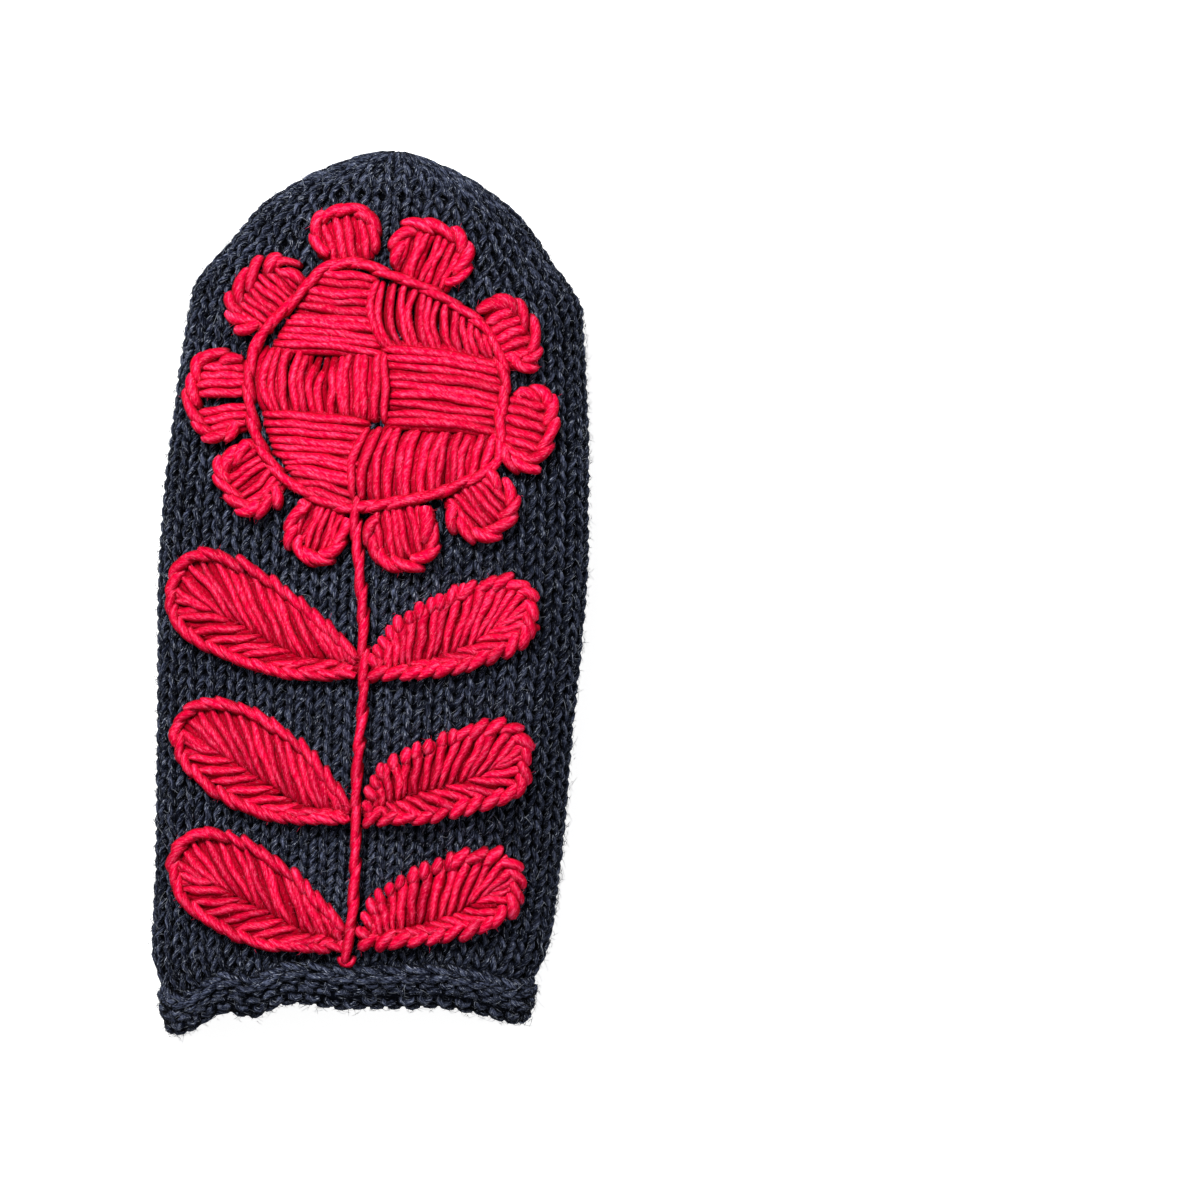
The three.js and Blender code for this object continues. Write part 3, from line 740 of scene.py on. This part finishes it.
def smooth_line(points, count, closed=False):
    """A Catmull-Rom line through points, in count even steps."""
    points = np.asarray(points, float)
    if closed:
        points = np.concatenate([points[-1:], points, points[:2]])
    else:
        points = np.concatenate([2 * points[:1] - points[1:2], points, 2 * points[-1:] - points[-2:-1]])
    t = np.linspace(0, 1, 24, endpoint=False)[:, None]
    parts = []
    for a, b, c, d in zip(points[:-3], points[1:-2], points[2:-1], points[3:]):
        parts.append(0.5 * (2 * b + (c - a) * t + (2 * a - 5 * b + 4 * c - d) * t * t
                            + (3 * b - a - 3 * c + d) * t ** 3))
    parts.append(points[-2:-1])
    dense = np.concatenate(parts)
    walked = walk(dense)
    at = np.linspace(0, walked[-1], count)
    return np.stack([np.interp(at, walked, dense[:, k]) for k in range(dense.shape[1])], axis=-1)


def sew(skein, line, height, radius=STRAND, tone=0.5, sides=8, phase=0.0, plies=0.10):
    """Lays a strand along a line [x, y] of the back, its middle at height above the skin."""
    line = np.asarray(line, float)
    normal = skin_normal(line[:, 0], line[:, 1])
    base = np.stack([line[:, 0], line[:, 1], skin_height(line[:, 0], line[:, 1])], axis=-1)
    path = base + normal * np.reshape(height, (-1, 1))
    forwards = unit(np.gradient(path, axis=0))
    flat = unit(np.gradient(line, axis=0))
    sideways = unit(np.stack([flat[:, 1], -flat[:, 0], np.zeros(len(flat))], axis=-1))
    sideways = unit(sideways - forwards * np.sum(sideways * forwards, axis=-1, keepdims=True))
    upwards = np.cross(sideways, forwards)
    # Painted shade: the lower a strand lies, the darker it is painted.
    light = 0.22 + 0.78 * ease((np.reshape(height, -1) + 0.3) / 1.7)
    skein.lay(path, sideways, upwards, radius, sides, False, tone, phase, plies, light)


def satin(skein, start, end, top, bow=0.0, radius=STRAND, tone=0.5, steps=13, phase=0.0, power=4.0,
          knob=0.0, taper=0.0):
    """One straight stitch from start to end, bowed to its right by bow, thicker by knob where it
    starts, and thinner by taper from there to its end. power says how steeply it dives."""
    start, end = np.asarray(start, float), np.asarray(end, float)
    # The steps are closer together at both ends, where the strand dives.
    t = 0.5 - 0.5 * np.cos(math.pi * np.linspace(0, 1, steps))
    across = np.array([end[1] - start[1], start[0] - end[0]]) / max(np.linalg.norm(end - start), 1e-6)
    wave = 0.28 * np.sin(2 * math.pi * (1.3 * t + phase)) * np.sin(math.pi * t)
    line = start + (end - start) * t[:, None] + across * (bow * np.sin(math.pi * t) + wave)[:, None]
    height = -SINK + (top + SINK) * (1 - np.abs(2 * t - 1) ** power) ** (1 / power)
    swell = radius * (0.62 + 0.40 * np.sin(math.pi * t) ** 0.6)
    swell = swell * (1 + knob * np.exp(-((t - 0.12) / 0.12) ** 2)) * (1 + taper * (0.5 - t))
    swell = swell * (1 + 0.07 * np.sin(2 * math.pi * (2.4 * t - phase)))
    sew(skein, line, height, swell, tone, phase=phase)


def point_at(line, share):
    place = share * (len(line) - 1)
    return np.array([np.interp(place, np.arange(len(line)), line[:, k]) for k in range(2)])


def plait(skein, line, pitch, reach, slant, top, radius, seed, tones=TONES, rough=0.1):
    """A rope of slanted stitches that overlap each other, every pitch along a line."""
    dice = np.random.default_rng(seed)
    length = walk(line)[-1]
    count = max(2, int(round(length / pitch)))
    t = np.linspace(-1, 1, 11)
    height = -ROPE_SINK + (top + ROPE_SINK) * (1 - np.abs(t) ** 3) ** 0.5
    for k in range(count):
        middle = (k + 0.5 + dice.normal(0, 0.06)) * length / count
        own = reach * (1 + dice.normal(0, 0.05 + 0.3 * rough))
        s = np.clip(middle + 0.5 * t * own, 0, length)
        places = np.array([point_at(line, share) for share in s / length])
        ahead = unit(np.gradient(places, axis=0) + 1e-9)
        across = np.stack([ahead[:, 1], -ahead[:, 0]], axis=-1)
        lean = slant * (1 + dice.normal(0, 0.1 + 0.6 * rough))
        places = places + across * (lean * t + dice.normal(0, rough))[:, None]
        swell = radius * (0.74 + 0.26 * np.cos(t * math.pi / 2) ** 0.7)
        swell = swell * (1 + dice.normal(0, 0.04 + 0.15 * rough))
        sew(skein, places, height, swell, dice.uniform(*tones), phase=dice.uniform(0, 1))


OPEN_LIGHT = 0.25
red_tops = []  # points on the open side of the strands, where loose fibres start


def finish_red(skein, node):
    """Makes a piece of red yarn that stands for the node."""
    red_tops.append(np.concatenate(skein.points)[np.concatenate(skein.lights) > OPEN_LIGHT])
    piece = skein.mesh(node + "_yarn", red_yarn)
    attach(piece, "root")
    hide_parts(node)


# The ring: a rope of the red wool that encloses the flower's middle. It is made of long slanted
# stitches, each of which starts beside the last.
FLOWER = (-1.1, 56.4)
RING_ANGLES = (1, 15, 32, 46, 64, 88, 102, 115, 126, 138, 152, 165, 179, 192, 205, 217, 231, 241, 256,
               267, 285, 299, 313, 326, 334, 348)
RING_RADII = (34.4, 33.8, 32.8, 30.5, 29.2, 30.3, 33.4, 34.4, 33.1, 31.9, 32.8, 34.1, 34.3, 34.2, 34.9,
              35.1, 35.0, 34.3, 33.9, 32.9, 31.8, 33.2, 34.9, 37.8, 37.6, 34.2)
ring_turns = np.radians(RING_ANGLES)
ring_points = np.stack([FLOWER[0] + np.array(RING_RADII) * np.cos(ring_turns),
                        FLOWER[1] + np.array(RING_RADII) * np.sin(ring_turns)], axis=-1)
skein = Skein(RED_SIDES)
plait(skein, smooth_line(ring_points, 400, closed=True), 7.0, 12.5, -0.75, 2.2, 1.4, 31, (0.35, 0.75))
finish_red(skein, "flower_ring")

# The six blocks that fill the ring: satin stitches, side by side over a padding of the same wool,
# and crosswise to those of the next block.
# Each row: name, start rail, end rail, number of strands, bow, fatness, and the padding's height.
BLOCKS = (
    ("block_top_left", ((-18.7, 86.8), (-23.5, 76.2), (-29.9, 64.8)),
     ((-2.7, 86.0), (-1.5, 75.2), (0.3, 63.6)), 10, (0.4, -0.6), 1.12, 0.7),
    ("block_top_right", ((-3.9, 84.2), (6.9, 83.8), (17.4, 79.2), (27.5, 70.8)),
     ((0.3, 66.4), (11.4, 66.2), (21.9, 65.6), (30.7, 65.6)), 14, (2.7, 0.3), 0.98, -0.1),
    ("block_mid_left", ((-30.9, 65.8), (-20.1, 65.8), (-7.1, 65.6), (1.5, 65.2)),
     ((-30.5, 47.8), (-20.6, 47.4), (-9.1, 47.2), (2.5, 46.8)), 14, (2.4, -0.2), 1.06, 0.7),
    ("block_mid_right", ((0.1, 67.8), (1.9, 56.2), (1.9, 45.6)),
     ((32.3, 64.6), (33.9, 55.2), (31.9, 43.8)), 9, (-0.6, -0.9), 1.19, 0.7),
    ("block_low_left", ((-31.5, 48.0), (-27.7, 38.2), (-19.1, 27.2)),
     ((-3.1, 47.0), (-4.3, 35.2), (-5.5, 23.8)), 11, (-0.4, -0.4), 1.12, 0.7),
    ("block_low_right", ((-3.9, 45.2), (9.4, 44.8), (21.9, 44.4), (31.9, 44.2)),
     ((-6.3, 25.8), (3.9, 25.0), (16.3, 28.0), (29.9, 34.8)), 13, (1.9, 0.6), 1.16, 0.6),
)
BLOCK_TOP = 2.0
SUNKEN_BLOCK = "block_mid_left"  # its middle strands have sunk, and start short of the block above
SUNKEN = (0.46, 0.14, 0.6)  # where in its row, spread, depth
SUNKEN_STARTS = (0.12, 0.36)  # the share by which the padding and the strands start short
for number, (name, starts, ends, count, bows, fat, padding) in enumerate(BLOCKS):
    dice = np.random.default_rng(90 + number)
    skein = Skein(RED_SIDES)
    start_line, end_line = smooth_line(starts, 60), smooth_line(ends, 60)
    # The padding under a block is a sparser layer of the same stitches.
    for layer in (0, 1):
        for k in range(count + 1 - layer):
            share = np.clip((k + 0.5 * layer) / count + dice.normal(0, 0.010), 0, 1)
            start = point_at(start_line, share) + dice.normal(0, 0.3, 2)
            end = point_at(end_line, np.clip(share + dice.normal(0, 0.010), 0, 1)) + dice.normal(0, 0.3, 2)
            bow = np.interp(share, (0, 1), bows) + dice.normal(0, 0.35)
            top = BLOCK_TOP + dice.normal(0, 0.22) if layer else padding
            if name == SUNKEN_BLOCK:
                sunk = math.exp(-((share - SUNKEN[0]) / SUNKEN[1]) ** 2)
                start = start + (end - start) * SUNKEN_STARTS[layer] * sunk
                top = top - SUNKEN[2] * sunk
            satin(skein, start, end, top, bow, STRAND * fat * (1 + dice.normal(0, 0.07)),
                  dice.uniform(*TONES) * PAINTED_LAYER_SHADE[layer], 15, dice.uniform(0, 1), 3.2)
    finish_red(skein, name)

# The stem: one rope of long stitches, sewn down the middle of the back from the ring to the hem,
# with a knot at its foot.
STEM = ((-4.7, 25.4), (-3.9, 15.0), (-1.3, -2.6), (-0.1, -20.1), (0.1, -29.0), (-0.5, -42.1),
        (-0.6, -55.3), (-0.2, -68.5), (-0.1, -81.7), (-0.8, -91.8), (-1.2, -98.4))
KNOT = ((-1.7, 0.6), (-0.8, -0.5), (0.3, -0.9), (1.2, -0.4), (1.6, 0.7))  # from the stem's foot
skein = Skein(RED_SIDES)
plait(skein, smooth_line(STEM, 300), 8.2, 13.6, 0.6, 2.6, 1.34, 57)
knot_height = 1.9 - 1.8 * np.abs(np.linspace(-1, 1, 11)) ** 3
sew(skein, smooth_line(np.array(STEM[-1]) + np.array(KNOT), 11), knot_height, 1.15, 0.4)
finish_red(skein, "stem")

# The petals: each a row of stitches side by side from the ring to a thick knobbly rim, which is
# made of long slanted stitches that overlap.
# Each row: middle angle, half width, reach, arms, stitches of the rim, slant, fatness, arm left out.
PETALS = (
    (105, 9.4, 49.8, 4, 6, -0.8, 0.74, None), (71, 10.8, 46.8, 7, 7, 1.2, 0.90, None),
    (24, 10.4, 45.4, 5, 6, 1.3, 1.0, None), (-13.5, 11.4, 49.4, 6, 7, 1.2, 0.90, None),
    (-46, 9.4, 51.6, 6, 7, 1.2, 0.92, None), (-77, 9.4, 50.0, 6, 7, 1.2, 0.88, None),
    (-109, 8.2, 50.6, 6, 6, 1.0, 0.90, None), (-140, 9.8, 50.4, 6, 8, -1.2, 0.88, None),
    (-173, 12.4, 51.0, 8, 8, -0.9, 0.98, 4), (144, 11.2, 46.6, 8, 8, -1.3, 0.90, None),
)
RIM_INSET = 1.5  # the middle of the rim lies this far inside the petal's edge
RIM_POWER = 0.8
RIM_OPENING = 128  # degrees from the petal's middle to either end of its rim
ARM_SPREAD = 0.86  # of the arms at the ring, compared with the rim


def ring_radius(angle):
    return np.interp(np.mod(angle, 2 * math.pi), np.append(ring_turns, ring_turns[0] + 2 * math.pi),
                     np.append(RING_RADII, RING_RADII[0]))


def squared(value):
    """Draws the sine or cosine of a turn towards 1 and -1, for a squarer loop."""
    return np.sign(value) * np.abs(value) ** RIM_POWER


for number, (middle, wide, reach, arms, knobs, slant, fat, skipped) in enumerate(PETALS):
    dice = np.random.default_rng(300 + number)
    skein = Skein(RED_SIDES)
    aim = math.radians(middle)
    ahead = np.array([math.cos(aim), math.sin(aim)])
    aside = np.array([-math.sin(aim), math.cos(aim)])
    foot_out = float(ring_radius(aim)) + 0.6
    depth = (reach - RIM_INSET - foot_out) / 2
    rim_turns = np.radians(np.linspace(-RIM_OPENING, RIM_OPENING, 50))
    rim_out = foot_out + depth * (1 + squared(np.cos(rim_turns)))
    rim_aside = (wide - RIM_INSET) * squared(np.sin(rim_turns))
    rim = np.array(FLOWER) + ahead * rim_out[:, None] + aside * rim_aside[:, None]
    pitch = (2 * wide - 2.4) / (arms + 0.6)
    for layer in (0, 1):
        for k in range(arms + 1 - layer):
            if skipped is not None and k in (skipped, skipped + 1 - layer):
                continue
            across = (k - arms / 2 + 0.5 * layer) * pitch * 0.96
            share = min(abs(across) / (wide - 1.0), 0.97)
            length = foot_out + depth * (1 + (1 - share ** 2.5) ** 0.5) - 0.8
            foot = (np.array(FLOWER) + ahead * (foot_out - 0.8 + 1.5 * share ** 2)
                    + aside * across * ARM_SPREAD + dice.normal(0, 0.25, 2))
            tip = np.array(FLOWER) + ahead * length + aside * across + dice.normal(0, 0.25, 2)
            satin(skein, foot, tip, 1.7 + dice.normal(0, 0.1) if layer else 0.5, dice.normal(0, 0.3),
                  pitch * 0.52 * fat * (1 + dice.normal(0, 0.05)),
                  dice.uniform(0.2, 0.8) * PAINTED_LAYER_SHADE[layer], 13, dice.uniform(0, 1), 3.2)
    knob_pitch = walk(rim)[-1] / knobs
    plait(skein, rim, knob_pitch, 1.45 * knob_pitch, 1.3 * slant, 2.4, 1.68, 360 + number, rough=0.3)
    finish_red(skein, f"petal_{number + 1}")

# The leaves: stitches from both edges that meet in a vein and point back to the stem. The left
# leaves are outlined with a smooth rope. On the right ones a knobbly rope runs along the lower edge
# and round the tip, and the strands end in thick knobs along the upper edge.
# Each row: name, number of stitches above and below the vein, upper edge from the stem to the tip,
# lower edge, and vein.
LEAVES = (
    ("leaf_left_top", 17, 12,
     ((-2.5, -16.2), (-12.9, -7.4), (-21.8, -0.8), (-32.7, 5.6), (-45.1, 9.0), (-51.5, 4.8), (-53.3, -1.8)),
     ((-2.5, -21.0), (-19.8, -22.0), (-31.3, -19.8), (-44.8, -14.6), (-51.7, -9.0), (-53.3, -1.8)),
     ((-1.9, -18.6), (-17.0, -17.6), (-23.0, -15.5), (-30.0, -11.8), (-38.6, -8.1), (-48.5, -2.4))),
    ("leaf_left_mid", 16, 12,
     ((-2.7, -56.0), (-10.8, -46.8), (-18.2, -40.1), (-30.7, -32.8), (-42.5, -31.0), (-48.3, -34.6),
      (-49.9, -39.6)),
     ((-2.7, -59.8), (-20.5, -60.5), (-34.0, -56.8), (-46.5, -48.2), (-49.9, -39.6)),
     ((-2.5, -58.5), (-12.0, -58.2), (-18.4, -55.9), (-24.5, -51.8), (-34.0, -46.9), (-45.0, -40.6))),
    ("leaf_left_low", 16, 12,
     ((-2.3, -89.6), (-10.6, -82.0), (-17.9, -75.3), (-30.8, -68.0), (-41.7, -66.0), (-47.0, -69.6),
      (-49.0, -75.4)),
     ((-2.3, -94.6), (-23.0, -94.9), (-36.5, -90.3), (-45.7, -84.2), (-49.0, -75.4)),
     ((-2.1, -92.8), (-12.0, -91.6), (-18.4, -89.0), (-25.5, -85.5), (-34.0, -81.6), (-44.6, -74.8))),
    ("leaf_right_top", 17, 13,
     ((1.1, -17.9), (7.4, -7.3), (16.8, -0.5), (27.0, 4.4), (35.6, 6.5), (41.9, 5.1), (44.5, 0.9)),
     ((1.5, -21.4), (12.5, -21.1), (25.6, -18.5), (36.7, -13.7), (43.5, -7.9), (44.5, 0.9)),
     ((2.1, -20.5), (12.9, -18.1), (21.1, -14.9), (29.5, -10.3), (37.3, -4.9))),
    ("leaf_right_mid", 16, 12,
     ((1.5, -56.9), (5.5, -45.8), (16.1, -39.3), (27.2, -34.2), (36.8, -32.1), (42.3, -34.3), (44.9, -38.5)),
     ((1.7, -59.7), (17.3, -59.4), (27.7, -56.2), (37.2, -52.9), (43.9, -49.1), (44.9, -38.5)),
     ((2.5, -58.1), (9.5, -54.4), (20.0, -50.8), (30.6, -47.0), (38.3, -42.3))),
    ("leaf_right_low", 16, 12,
     ((1.7, -91.1), (6.2, -80.1), (15.2, -73.5), (27.4, -68.3), (37.0, -66.6), (42.3, -69.1), (44.6, -74.3)),
     ((1.9, -93.9), (16.3, -92.7), (26.8, -90.3), (37.3, -87.0), (43.1, -81.7), (44.6, -74.3)),
     ((3.5, -92.5), (11.7, -89.7), (20.5, -86.9), (29.0, -82.9), (38.3, -76.3))),
)
EDGE_POINTS = 90
KNOB_END = 55  # of EDGE_POINTS: where the knobs of a right leaf end
ROPE_END = 50  # and where its rope starts
RIGHT_INSET = 1.2  # how far the edges of the right leaves are drawn in, for the knobs
HEART = 0.86  # where on the vein the strands that fill the tip start
LEAF_RADIUS = 1.14
LEAF_TOP = 1.6
VEIN_REACH = 0.98  # the share of the vein that strands meet
VEIN_LAG = {"left": (0.145, 0.16), "right": (0.06, 0.08)}  # strands slant back to the stem by this share
PADDING_REACH = {"left": 0.94, "right": 0.76}
ROPES = {"left": (4.8, 7.68, 0.9, 1.38), "right": (4.4, 5.5, -1.6, 1.62)}  # pitch, reach, slant, radius


def drawn_in(line, towards, step):
    """A line whose points are moved a step towards the nearest points of another."""
    nearest = np.argmin(np.linalg.norm(line[:, None] - towards[None], axis=-1), axis=1)
    away = towards[nearest] - line
    distance = np.maximum(np.linalg.norm(away, axis=-1, keepdims=True), 1e-6)
    return line + away * np.minimum(step / distance, 0.5)


for number, (name, upper, lower, above, below, vein) in enumerate(LEAVES):
    dice = np.random.default_rng(700 + number)
    left = "left" in name
    flank = "left" if left else "right"
    skein = Skein(RED_SIDES)
    above_line, below_line = smooth_line(above, EDGE_POINTS), smooth_line(below, EDGE_POINTS)
    vein_line = smooth_line(vein, 60)
    if not left:
        above_line = drawn_in(above_line, vein_line, RIGHT_INSET)
        below_line = drawn_in(below_line, vein_line, RIGHT_INSET)
    # The middle of the tip is filled first.
    heart = point_at(vein_line, HEART)
    aim = above_line[-1] - heart
    for turn in (-0.5, 0.0, 0.5):
        turned = np.array([aim[0] * math.cos(turn) - aim[1] * math.sin(turn),
                           aim[0] * math.sin(turn) + aim[1] * math.cos(turn)])
        satin(skein, heart + turned * 0.95, heart, 0.8, 0.0, 1.4, 0.3)
    for side, (edge, count) in enumerate(((above_line, upper), (below_line, lower))):
        for k in range(count):
            share = (k + 0.1) / count
            lag = VEIN_LAG[flank][side] * (1.3 - 0.6 * share) * min(1, 0.1 + 3 * share)
            foot = point_at(vein_line, np.clip(share * VEIN_REACH - lag, 0.0, 1.0))
            start = foot + (point_at(edge, share) - foot) * PADDING_REACH[flank]
            # The padding strands get the lowest tone, a painted shade.
            satin(skein, start, foot, 0.3, 0.0, 1.35, 0.1)
            share = (k + 0.6) / count
            foot = point_at(vein_line, np.clip(share * VEIN_REACH - lag, 0.0, 1.0)) + dice.normal(0, 0.3, 2)
            corner = point_at(edge, share) + dice.normal(0, 0.22, 2)
            radius = 1.08 * LEAF_RADIUS * (1 + dice.normal(0, 0.08))
            tone = dice.uniform(0.15, 0.85)
            top = LEAF_TOP + dice.normal(0, 0.14)
            inwards = unit(foot - corner)
            if left or side:
                satin(skein, corner + inwards * 0.5, foot, top, dice.normal(0, 0.4), radius, tone, 13,
                      dice.uniform(0, 1), 3.0, knob=-0.3 if left else 0.1, taper=0.35)
            else:
                # The upper end is thicker and stays up to the edge, under a knob.
                satin(skein, corner - inwards * 0.2, foot, top + 0.1, dice.normal(0, 0.3), radius, tone,
                      13, dice.uniform(0, 1), 4.5, knob=0.15, taper=0.5)
    if left:
        rope = np.concatenate([below_line, above_line[::-1][1:]])
    else:
        rope = np.concatenate([below_line, above_line[ROPE_END:-1][::-1]])
        knob_pitch = walk(above_line)[-1] / upper
        plait(skein, above_line[:KNOB_END], knob_pitch, 0.45 * knob_pitch, -1.3, 2.2, 1.58, 850 + number,
              rough=0.12)
    pitch, reach, slant, radius = ROPES[flank]
    plait(skein, rope, pitch, reach, slant, 2.1, radius, 800 + number, rough=0.15)
    finish_red(skein, name)

# The fuzz
# Loose fibres stand out of both wools, because they are spun loosely and lightly fulled: short dark
# ones, fewer pale hairs, and red ones on the embroidery.
LONG_HAIR = 2.6  # longer fibres are drawn with more steps
HAIR_CLEARANCE = 0.15  # above the floor


# Loose fibres use the same wool, with its painted highlight and painted shade.
def fuzz(name, deep, plain, lit, stray=(0.0, (1.0, 1.0, 1.0)), shade=(0.5, 0.5, 0.5)):
    return wool(name, deep, plain, lit, twist=0.2, fineness=1.0, stray=stray, bump=0.1, sheen=0.0,
                sheen_tint=(1.0, 1.0, 1.0), shade=shade)


charcoal_fuzz = fuzz("charcoal_fuzz", (0.005, 0.006, 0.009), (0.018, 0.021, 0.029), (0.08, 0.092, 0.125),
                     stray=(0.2, (0.4, 0.45, 0.5)))
pale_fuzz = fuzz("pale_fuzz", (0.16, 0.18, 0.21), (0.30, 0.33, 0.38), (0.50, 0.53, 0.58))
red_fuzz = fuzz("red_fuzz", (0.75, 0.005, 0.04), (0.98, 0.03, 0.10), (1.0, 0.16, 0.26),
                shade=(0.5, 0.4, 0.4))


def hair(skein, start, outwards, length, radius, dice):
    """One curved fibre that leaves the yarn at start and bends back over it."""
    random = unit(dice.normal(0, 1, 3))
    along_skin = unit(random - outwards * np.dot(random, outwards))
    bend = unit(dice.normal(0, 1, 3)) * dice.uniform(0.1, 0.6) - outwards * dice.uniform(0.0, 0.5)
    lift = dice.uniform(0.15, 0.8)
    steps = 5 if length > LONG_HAIR else 3
    t = np.linspace(0, 1, steps)[:, None]
    path = start + length * (unit(along_skin + outwards * lift) * t + bend * t * t * 0.6)
    path[:, 2] = np.maximum(path[:, 2], HAIR_CLEARANCE)
    forwards = unit(np.gradient(path, axis=0))
    sideways = unit(np.cross(forwards, outwards + 0.01))
    skein.lay(path, sideways, np.cross(sideways, forwards), radius * np.linspace(1.1, 0.4, steps), 3,
              False, dice.uniform(0, 1))


dice = np.random.default_rng(9001)
all_paths, all_outwards, all_fronts = (np.concatenate(part) for part in zip(*hand_legs))
# Legs in front, on the back and round the sides: nothing is lost under the palm.
open_legs = np.flatnonzero((all_fronts > 0.2) & (all_outwards[:, 2] > -0.35))
# Four times as many stand round the edge, where they show against the light.
edge_weight = 1 + 3.0 * (np.abs(all_outwards[open_legs, 2]) < 0.5)
edge_weight /= edge_weight.sum()
FUZZ_SIDES = 1.0  # side_shade of a fibre
for name, material, count, lengths, radius in (
        ("hand_fuzz", charcoal_fuzz, 7000, (0.6, 2.5), 0.07),
        ("hand_hairs", pale_fuzz, 1600, (0.6, 3.6), 0.055)):
    skein = Skein(FUZZ_SIDES)
    for leg in dice.choice(open_legs, count, p=edge_weight):
        start = all_paths[leg] + all_outwards[leg] * YARN_RADIUS * 0.85 + dice.normal(0, 0.35, 3)
        hair(skein, start, all_outwards[leg], dice.uniform(*lengths), radius, dice)
    finish_charcoal(skein, name, "hand_shell", "finger_shell", material=material)

# On the embroidery the fibres are short and lie close.
RED_FIBRES = 8000
red_starts = np.concatenate(red_tops)
skein = Skein(FUZZ_SIDES)
for start in red_starts[dice.choice(len(red_starts), RED_FIBRES, replace=False)]:
    start = start + dice.normal(0, 0.2, 3)
    hair(skein, start, np.array([0.0, 0.0, 1.0]), dice.uniform(0.5, 1.8), 0.05, dice)
piece = skein.mesh("red_loose_fibres", red_fuzz)
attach(piece, "root")
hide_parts("flower_ring")
